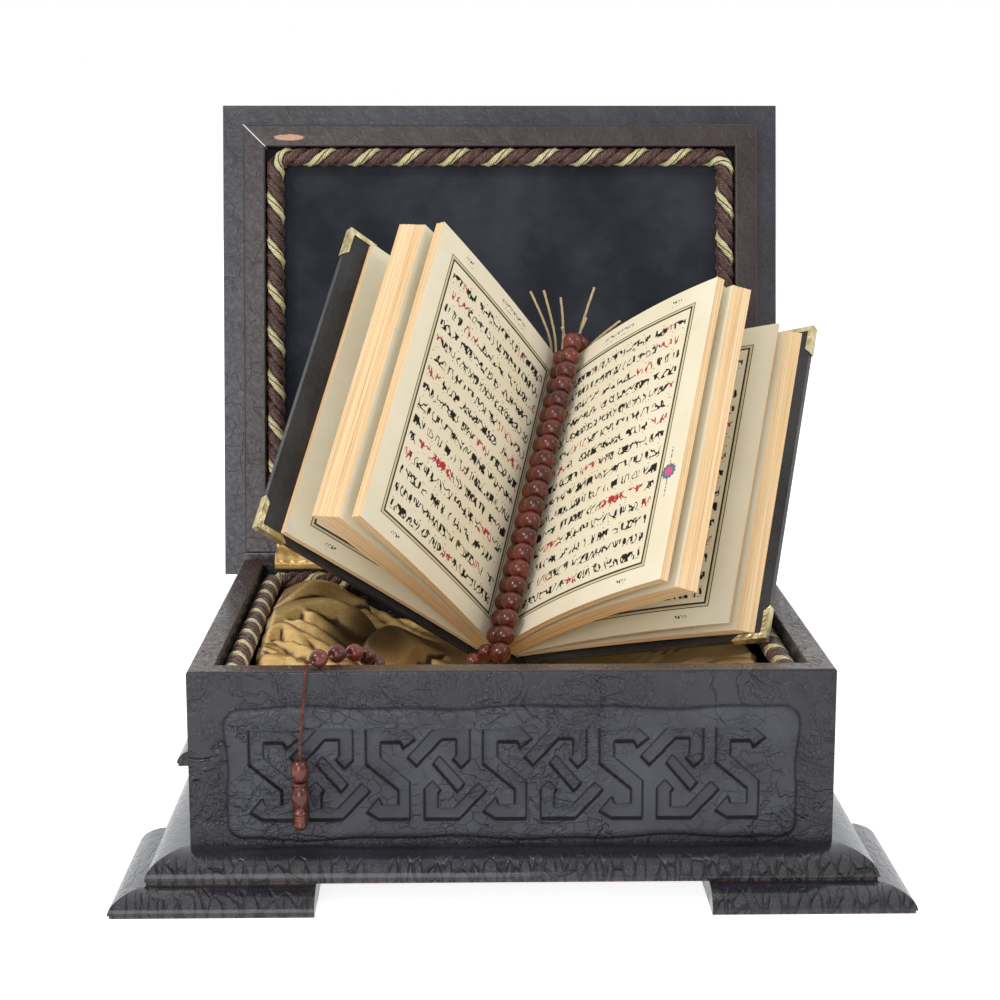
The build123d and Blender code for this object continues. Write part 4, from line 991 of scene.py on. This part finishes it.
def nick(f, x, y, cloud):
    """1 inside a ragged ellipse, 18 by 4 mm, on the front rail."""
    a = f.sum("POWER", f.sum("DIVIDE", f.sum("ADD", x, 0.1234), 0.009), 2.0)
    b = f.sum("POWER", f.sum("DIVIDE", f.sum("SUBTRACT", y, 0.0078), 0.0019), 2.0)
    return f.step(f.sum("ADD", f.sum("ADD", a, b), cloud), 1.5, 1.2)


def open_mitre(f, x, y, cloud):
    """1 along the mitre of the front left corner, where dry glue shows."""
    off = f.sum("ABSOLUTE", f.sum("SUBTRACT", f.sum("ADD", x, 0.150), y))
    return f.sum("MULTIPLY", f.step(off, 0.0005, 0.0002), f.step(y, 0.016, 0.013))


# Painted highlight: a thin pale line on the board along the foot of the rails.
lid_patch(board_leather, painted_edge_highlight, (0.55, 0.55, 0.58, 1))
lid_patch(rail_leather, nick, (0.52, 0.27, 0.16, 1))
lid_patch(rail_leather, open_mitre, (0.75, 0.76, 0.78, 1))
finish_nodes(board_leather, "lid_board")
finish_nodes(rail_leather, "lid_rail_front", "lid_rail_back", "lid_rail_left", "lid_rail_right")
carved_panel(
    "lid_panel_carved", "lid_leather_panel", 295.6, 245.6, on_lid(0, 125, 127.2), (-1, 0, 0), lid_up,
    [(-119.8, 5, 95.0), (-119.8, 5, -50.0)], 1.0, 13, panel_leather, "crackled_leather", "lid",
)

velvet = Finish("dark_velvet", roughness=0.95, sheen_weight=0.25, sheen_roughness=0.5, specular_ior_level=0.2)
nap = velvet.noise(velvet.place.outputs["Object"], 22, 6, 0.6)
pile = velvet.noise(velvet.place.outputs["Object"], 3200, 2)
lint = velvet.step(velvet.cells(velvet.place.outputs["Object"], 130), 0.035, 0.01)
blue_black = velvet.blend(velvet.step(nap, 0.3, 0.72), (0.014, 0.016, 0.022, 1), (0.038, 0.042, 0.054, 1))
velvet_finish = velvet.connect(
    base_color=velvet.blend(velvet.sum("MULTIPLY", lint, 0.5), blue_black, (0.20, 0.21, 0.22, 1)),
    normal=velvet.bump(pile, 0.0003),
)
finish_nodes(velvet_finish, "lid_velvet_panel")

# Leaves of the book
# Cream paper sewn in blocks that lie open at different angles. Every leaf face has a double-ruled
# frame with rows of marks; the edges of the leaves show as fine warm lines, a few of them proud.
page_height, page_width, back_radius = 188.0, 131.0, 17.0
page_blocks = {
    "pages_left_inner": (-1.2, -4.6, 31.5, 5.0, 0.0, 2.0, 14), "pages_left_middle": (-5.0, -10.8, 35.1, 13.6, 5.4, 2.0, 36),
    "pages_left_outer": (-11.2, -12.8, 49.0, 3.5, 0.0, 1.0, 12), "pages_right_inner": (1.2, 4.6, 36.6, 4.0, 1.0, 5.0, 12),
    "pages_right_middle": (5.0, 10.6, 39.4, 8.8, 5.0, 5.0, 26), "pages_right_leaf": (11.0, 11.6, 53.3, 1.0, 0.0, 4.0, 5),
    "pages_right_outer": (11.9, 12.8, 55.9, 4.8, 8.0, 2.0, 16),
}

def printed_paper(name, ornament):
    """Cream paper with a faint mottle. Inside a double-ruled frame stand fifteen rows of marks: strokes where a
    cloudy noise crosses its middle value, upright bars and dots, in groups, now and then in red. A few small
    marks stand above and below the frame, and where ornament is set a scalloped ring beside it."""
    f = Finish(name, roughness=0.72, specular_ior_level=0.25)
    parts = f.node("SeparateXYZ", {0: f.place.outputs["UV"]})
    across, upward = parts.outputs[0], parts.outputs[1]

    def inside(value, middle, half, soft):
        """1 within half a width of a middle."""
        return f.step(f.sum("ABSOLUTE", f.sum("SUBTRACT", value, middle)), half + soft, half)

    def both(*masks):
        """The product of masks."""
        result = masks[0]
        for mask in masks[1:]:
            result = f.sum("MULTIPLY", result, mask)
        return result

    to_side = f.sum("SUBTRACT", f.sum("ABSOLUTE", f.sum("SUBTRACT", across, 0.0645)), 0.0535)
    to_end = f.sum("SUBTRACT", f.sum("ABSOLUTE", f.sum("SUBTRACT", upward, 0.0933)), 0.0823)
    rim_distance = f.sum("MAXIMUM", to_side, to_end)
    thick_rule = f.sum("MAXIMUM", inside(rim_distance, 0.0, 0.00022, 0.00012), inside(rim_distance, -0.0021, 0.00050, 0.00012))
    gold_rule = inside(rim_distance, -0.0011, 0.0005, 0.0002)

    def marks(along, share, row, size):
        """Strokes, bars and dots of one row: along it in metres, share 0 to 1 of its height."""
        spot = f.node(
            "CombineXYZ", {0: f.sum("MULTIPLY", along, 250 / size), 1: f.sum("MULTIPLY", share, 1.9), 2: f.sum("MULTIPLY", row, 7.3)}
        ).outputs[0]
        off = f.sum("ABSOLUTE", f.sum("SUBTRACT", f.noise(spot, 1.0, 1.0, 0.4), 0.5))
        stroke = both(f.step(off, 0.050, 0.033), inside(share, 0.44, 0.23, 0.05))
        lean = f.sum("MULTIPLY_ADD", share, 0.7, f.sum("MULTIPLY", along, 420 / size))
        bar_spot = f.node("CombineXYZ", {0: lean, 1: f.sum("MULTIPLY", row, 3.1)}).outputs[0]
        tall = f.noise(f.node("CombineXYZ", {0: f.sum("MULTIPLY", along, 190 / size), 1: row}).outputs[0], 1.0, 1)
        top = f.sum("MULTIPLY_ADD", tall, 0.5, 0.42)
        bar = both(
            f.step(f.noise(bar_spot, 1.0, 0.0), 0.61, 0.64), f.step(share, 0.28, 0.34),
            f.step(f.sum("SUBTRACT", share, top), 0.02, -0.04),
        )
        dot = f.step(f.cells(f.scaled(spot, 1.5, 2.2, 1), 1.0), 0.19, 0.12)
        high = f.sum("MAXIMUM", inside(share, 0.84, 0.10, 0.02), inside(share, 0.14, 0.07, 0.02))
        return f.sum("MAXIMUM", f.sum("MAXIMUM", stroke, bar), both(dot, high))

    row_place = f.sum("DIVIDE", f.sum("SUBTRACT", upward, 0.0150), 0.01035)
    row, share = f.sum("FLOOR", row_place), f.sum("FRACT", row_place)
    word_spot = f.node("CombineXYZ", {0: f.sum("MULTIPLY", across, 95), 1: f.sum("MULTIPLY", row, 3.7)}).outputs[0]
    words = f.step(f.noise(word_spot, 1.0, 2), 0.33, 0.36)
    page_marks = both(marks(across, share, row, 1.0), words, f.step(rim_distance, -0.0042, -0.0052))
    small_share = f.sum("FRACT", f.sum("DIVIDE", upward, 0.0042))
    head_row = both(inside(across, 0.056, 0.0125, 0.001), inside(upward, 0.1811, 0.0021, 0.0003))
    number = both(
        f.sum("MAXIMUM", inside(upward, 0.1811, 0.0019, 0.0003), inside(upward, 0.0050, 0.0019, 0.0003)),
        inside(across, 0.1035, 0.0034, 0.0004),
    )
    margin_marks = both(marks(across, small_share, 40.0, 0.45), f.sum("MAXIMUM", head_row, number))
    red_spot = f.node("CombineXYZ", {0: f.sum("MULTIPLY", across, 42), 1: f.sum("MULTIPLY", row, 5.1), 2: 9.0}).outputs[0]
    red = f.step(f.noise(red_spot, 1.0, 1), 0.60, 0.62)
    ring_cells = f.cells(f.node("CombineXYZ", {0: across, 1: upward}).outputs[0], 36.0)
    ring = both(f.step(ring_cells, 0.062, 0.052), f.step(rim_distance, -0.006, -0.008))
    ink = f.blend(red, (0.010, 0.008, 0.007, 1), (0.46, 0.030, 0.045, 1))
    mottle = f.noise(f.place.outputs["Object"], 18, 4)
    cream = f.blend(f.step(mottle, 0.3, 0.72), (0.83, 0.73, 0.53, 1), (0.88, 0.80, 0.61, 1))
    stain = f.step(f.noise(f.place.outputs["Object"], 38, 2), 0.69, 0.78)
    cream = f.blend(f.sum("MULTIPLY", stain, 0.25), cream, (0.50, 0.49, 0.42, 1))
    sheet = f.blend(f.sum("MULTIPLY", gold_rule, 0.55), cream, (0.50, 0.38, 0.12, 1))
    sheet = f.blend(thick_rule, sheet, (0.040, 0.028, 0.014, 1))
    sheet = f.blend(page_marks, sheet, ink)
    sheet = f.blend(margin_marks, sheet, (0.03, 0.025, 0.02, 1))
    sheet = f.blend(ring, sheet, (0.09, 0.07, 0.03, 1))
    if ornament:
        dx = f.sum("SUBTRACT", across, 0.1225)
        dy = f.sum("SUBTRACT", upward, 0.0656)
        away = f.sum("SQRT", f.sum("ADD", f.sum("MULTIPLY", dx, dx), f.sum("MULTIPLY", dy, dy)))
        scallop = f.sum("MULTIPLY", f.sum("SINE", f.sum("MULTIPLY", f.sum("ARCTAN2", dy, dx), 12.0)), 0.0004)
        roundel = f.step(f.sum("ADD", away, scallop), 0.0046, 0.0043)
        heart = f.step(away, 0.0028, 0.0022)
        tail = both(inside(dx, 0.0, 0.00035, 0.0002), inside(away, 0.0095, 0.0055, 0.0005), f.step(f.noise(f.scaled(spot_of(f), 1, 1, 1), 900, 1), 0.45, 0.55))
        sheet = f.blend(tail, sheet, (0.20, 0.20, 0.24, 1))
        sheet = f.blend(roundel, sheet, (0.13, 0.17, 0.24, 1))
        sheet = f.blend(heart, sheet, (0.72, 0.10, 0.22, 1))
    return f.connect(base_color=sheet, normal=f.bump(f.noise(f.place.outputs["Object"], 900, 3), 0.00005))


def spot_of(finish):
    """A finish's own object coordinates."""
    return finish.place.outputs["Object"]


plain_pages = printed_paper("printed_paper", False)
ornament_pages = printed_paper("printed_paper_with_ring", True)

leaf_edges = Finish("leaf_edges", roughness=0.8, specular_ior_level=0.2)
parts = leaf_edges.node("SeparateXYZ", {0: leaf_edges.place.outputs["UV"]})
leaf_spot = leaf_edges.node(
    "CombineXYZ", {0: leaf_edges.sum("MULTIPLY", parts.outputs[0], 4200), 1: leaf_edges.sum("MULTIPLY", parts.outputs[1], 9)}
).outputs[0]
leaf_lines = leaf_edges.noise(leaf_spot, 1.0, 3)
leaf_bands = leaf_edges.noise(leaf_edges.scaled(leaf_spot, 0.14, 0.5, 1), 1.0, 2)
warm = leaf_edges.blend(leaf_edges.step(leaf_bands, 0.3, 0.7), (0.80, 0.53, 0.27, 1), (0.93, 0.72, 0.45, 1))
edge_finish = leaf_edges.connect(
    base_color=leaf_edges.blend(leaf_edges.step(leaf_lines, 0.52, 0.30, 0.0, 0.6), warm, (0.46, 0.27, 0.11, 1)),
    normal=leaf_edges.bump(leaf_lines, 0.00016),
)


def back_curve(x):
    """Height of the sewn back across the book: an arc of its radius."""
    return np.sqrt(back_radius**2 - np.asarray(x) ** 2) - back_radius


def leaf_block(name, bound_front, bound_back, angle, thickness, slant, bulge, leaves, seed):
    """A block of leaves. A point has a share a through the block, b from the back to the fore-edge and c up
    the spine: it lies between the front and back leaves, each a bowed line, less a small step for its leaf."""
    side = 1 if bound_front > 0 else -1
    turn = radians(angle)
    outward = np.array([side * cos(turn), -sin(turn)])
    along = np.array([side * sin(turn), cos(turn)])
    near, far = (np.array([bound, back_curve(bound)]) for bound in (bound_front, bound_back))
    front_edge = near + page_width * along
    back_edge = front_edge + thickness * outward + slant * along
    rng = np.random.default_rng(seed)
    steps = np.repeat(rng.uniform(0, 0.4, leaves), 3)
    steps[:3] *= 0.3
    head_steps = np.repeat(rng.uniform(0, 0.25, leaves), 3)
    shares = (np.arange(leaves)[:, None] + np.array([0.04, 0.5, 0.96])).ravel() / leaves
    shares[0], shares[-1] = 0, 1

    def block_point(a, b, c, step, head):
        a, b, c, step, head = (np.asarray(value, float)[..., None] for value in np.broadcast_arrays(a, b, c, step, head))
        bow = 4 * b * (1 - b) * bulge * outward
        flat = (near + (front_edge - near) * b) * (1 - a) + (far + (back_edge - far) * b) * a - bow
        flat = flat - along * step * b
        up = (c * (page_height - 2 * head) + head)[..., 0]
        return in_book(flat[..., 0], flat[..., 1], up)

    b_shares = np.r_[0, np.linspace(0.015, 1, 26) ** 0.9]
    c_shares = np.linspace(0, 1, 15)
    points, faces, coordinates, kinds, start = [], [], [], [], 0
    for fixed, first, second in (
        ("a0", b_shares, c_shares), ("a1", b_shares, c_shares), ("b0", shares, c_shares), ("b1", shares, c_shares),
        ("c0", shares, b_shares), ("c1", shares, b_shares),
    ):
        one, two = np.meshgrid(np.arange(len(first)), np.arange(len(second)), indexing="ij")
        if fixed[0] == "a":
            end = float(fixed[1])
            pick = -1 if end else 0
            grid = block_point(end, first[one], second[two], steps[pick], head_steps[pick])
            uv = np.stack([first[one] * page_width, second[two] * page_height], -1)
        elif fixed[0] == "b":
            grid = block_point(first[one], float(fixed[1]), second[two], steps[one], head_steps[one])
            uv = np.stack([first[one] * thickness, second[two] * page_height], -1)
        else:
            grid = block_point(first[one], second[two], float(fixed[1]), steps[one], head_steps[one])
            uv = np.stack([first[one] * thickness, second[two] * page_width], -1)
        points.append(grid.reshape(-1, 3))
        coordinates.append(uv.reshape(-1, 2) / 1000)
        quads = grid_quads(*one.shape) + start
        faces.append(quads)
        kinds += [0 if fixed[0] == "a" else 1] * len(quads)
        start += one.size
    mesh = make_mesh(name, placed(np.concatenate(points)), np.concatenate(faces).tolist(), outwards=False)
    set_uv(mesh, np.concatenate(coordinates))
    mesh.polygons.foreach_set("material_index", kinds)
    shape = bmesh.new()
    shape.from_mesh(mesh)
    bmesh.ops.remove_doubles(shape, verts=shape.verts, dist=1e-6)
    bmesh.ops.recalc_face_normals(shape, faces=shape.faces)
    shape.to_mesh(mesh)
    shape.free()
    return mesh


for seed, (node, values) in enumerate(page_blocks.items()):
    name = node.replace("pages", "leaves")
    mesh = leaf_block(name, *values, seed + 20)
    printed = ornament_pages if node == "pages_right_inner" else plain_pages
    add_piece(name, mesh, "book", "paper", printed, edge_finish, stands_for=[node], smooth=False)

# Sewn back of the book
# Open cloth and glue over the folds of the leaves, inside the hollow spine.
cloth = Finish("sewn_back_cloth", roughness=0.85)
threads_over = cloth.sum("SINE", cloth.sum("MULTIPLY", cloth.node("SeparateXYZ", {0: cloth.place.outputs["Object"]}).outputs[2], 6000.0))
cloth_finish = cloth.connect(
    base_color=cloth.blend(cloth.noise(cloth.place.outputs["Object"], 300, 3), (0.50, 0.45, 0.34, 1), (0.74, 0.68, 0.54, 1)),
    normal=cloth.bump(threads_over, 0.0001),
)
finish_nodes(cloth_finish, "sewn_back")

# Covers and spine
# Boards wrapped in fine black leather, turned in at the edges, and a hollow spine in the same leather.
cover_leather = leather(
    "cover_leather", (0.016, 0.016, 0.018, 1), (0.034, 0.034, 0.037, 1), (1, 1, 1), 900.0, 0.12, 0.4, 0.00012, 0.36
)
finish_nodes(cover_leather, "book_cover_left", "book_cover_right", "book_spine")

# Corner caps
# Thin brass sheet folded over each outer corner of the boards, dented and a little tarnished.
cap = Finish("pale_brass_sheet", roughness=0.36, metallic=0.9)
tarnish = cap.noise(cap.place.outputs["Object"], 180, 5)
dents = cap.noise(cap.place.outputs["Object"], 260, 2)
cap_finish = cap.connect(
    base_color=cap.blend(cap.step(tarnish, 0.3, 0.7), (0.48, 0.38, 0.17, 1), (0.80, 0.70, 0.42, 1)),
    normal=cap.bump(dents, 0.0009),
)
finish_nodes(cap_finish, "cover_corner_left_head", "cover_corner_left_tail", "cover_corner_right_head", "cover_corner_right_tail")

# Floor and light
# A white table and a white surround, two wide soft lamps above and one low in front.
floor_mesh = make_mesh("floor", [(-6, -6, 0), (6, -6, 0), (6, 6, 0), (-6, 6, 0)], [[0, 1, 2, 3]], outwards=False)
floor = bpy.data.objects.new("floor", floor_mesh)
bpy.context.scene.collection.objects.link(floor)
table = bpy.data.materials.new("white_table")
table.use_nodes = True
tt = Tree(table.node_tree)
table.node_tree.nodes.remove(table.node_tree.nodes["Principled BSDF"])
rays = tt.node("LightPath")
matt = tt.node("BsdfDiffuse", {"Color": (0.62, 0.62, 0.63, 1)}).outputs[0]
glow = tt.node("MixShader", {
    0: rays.outputs["Is Camera Ray"],
    1: tt.node("Emission", {"Color": (1, 1, 1, 1), "Strength": 0.55}).outputs[0],
    2: tt.node("Emission", {"Color": (1, 1, 1, 1), "Strength": 0.85}).outputs[0],
}).outputs[0]
surface = tt.node("AddShader", {0: matt, 1: glow}).outputs[0]
table.node_tree.links.new(surface, table.node_tree.nodes["Material Output"].inputs["Surface"])
floor_mesh.materials.append(table)

world = bpy.data.worlds.new("surround")
bpy.context.scene.world = world
world.use_nodes = True
wt = Tree(world.node_tree)
rays = wt.node("LightPath")
shown = wt.sum("MAXIMUM", rays.outputs["Is Camera Ray"], rays.outputs["Is Transmission Ray"])
plain = world.node_tree.nodes["Background"]
plain.inputs[0].default_value = (0.96, 0.98, 1.0, 1)
toward = wt.node("SeparateXYZ", {0: wt.node("TexCoord").outputs["Generated"]}).outputs
level = wt.step(toward[1], -0.6, 0.4, 0.50, 1.0)
world.node_tree.links.new(level, plain.inputs[1])
white = wt.node("Background", {0: (1, 1, 1, 1), 1: 1.0}).outputs[0]
mixed = wt.node("MixShader", {0: shown, 1: plain.outputs[0], 2: white}).outputs[0]
world.node_tree.links.new(mixed, world.node_tree.nodes["World Output"].inputs["Surface"])

lamp_aim = Vector((0, 0, 0.15))
for name, place, size, power in (
    ("lamp_left", (-1.3, -1.0, 1.5), 0.4, 14.0),
    ("lamp_right", (1.4, -0.8, 1.3), 0.4, 5.0),
    ("lamp_front", (-0.4, -1.9, 0.6), 1.0, 10.0),
):
    lamp = bpy.data.lights.new(name, "AREA")
    lamp.shape = "SQUARE"
    lamp.size = size
    lamp.energy = power
    stand = bpy.data.objects.new(name, lamp)
    bpy.context.scene.collection.objects.link(stand)
    stand.location = place
    stand.rotation_euler = (lamp_aim - Vector(place)).to_track_quat("-Z", "Y").to_euler()
bpy.context.scene.view_settings.view_transform = "Standard"
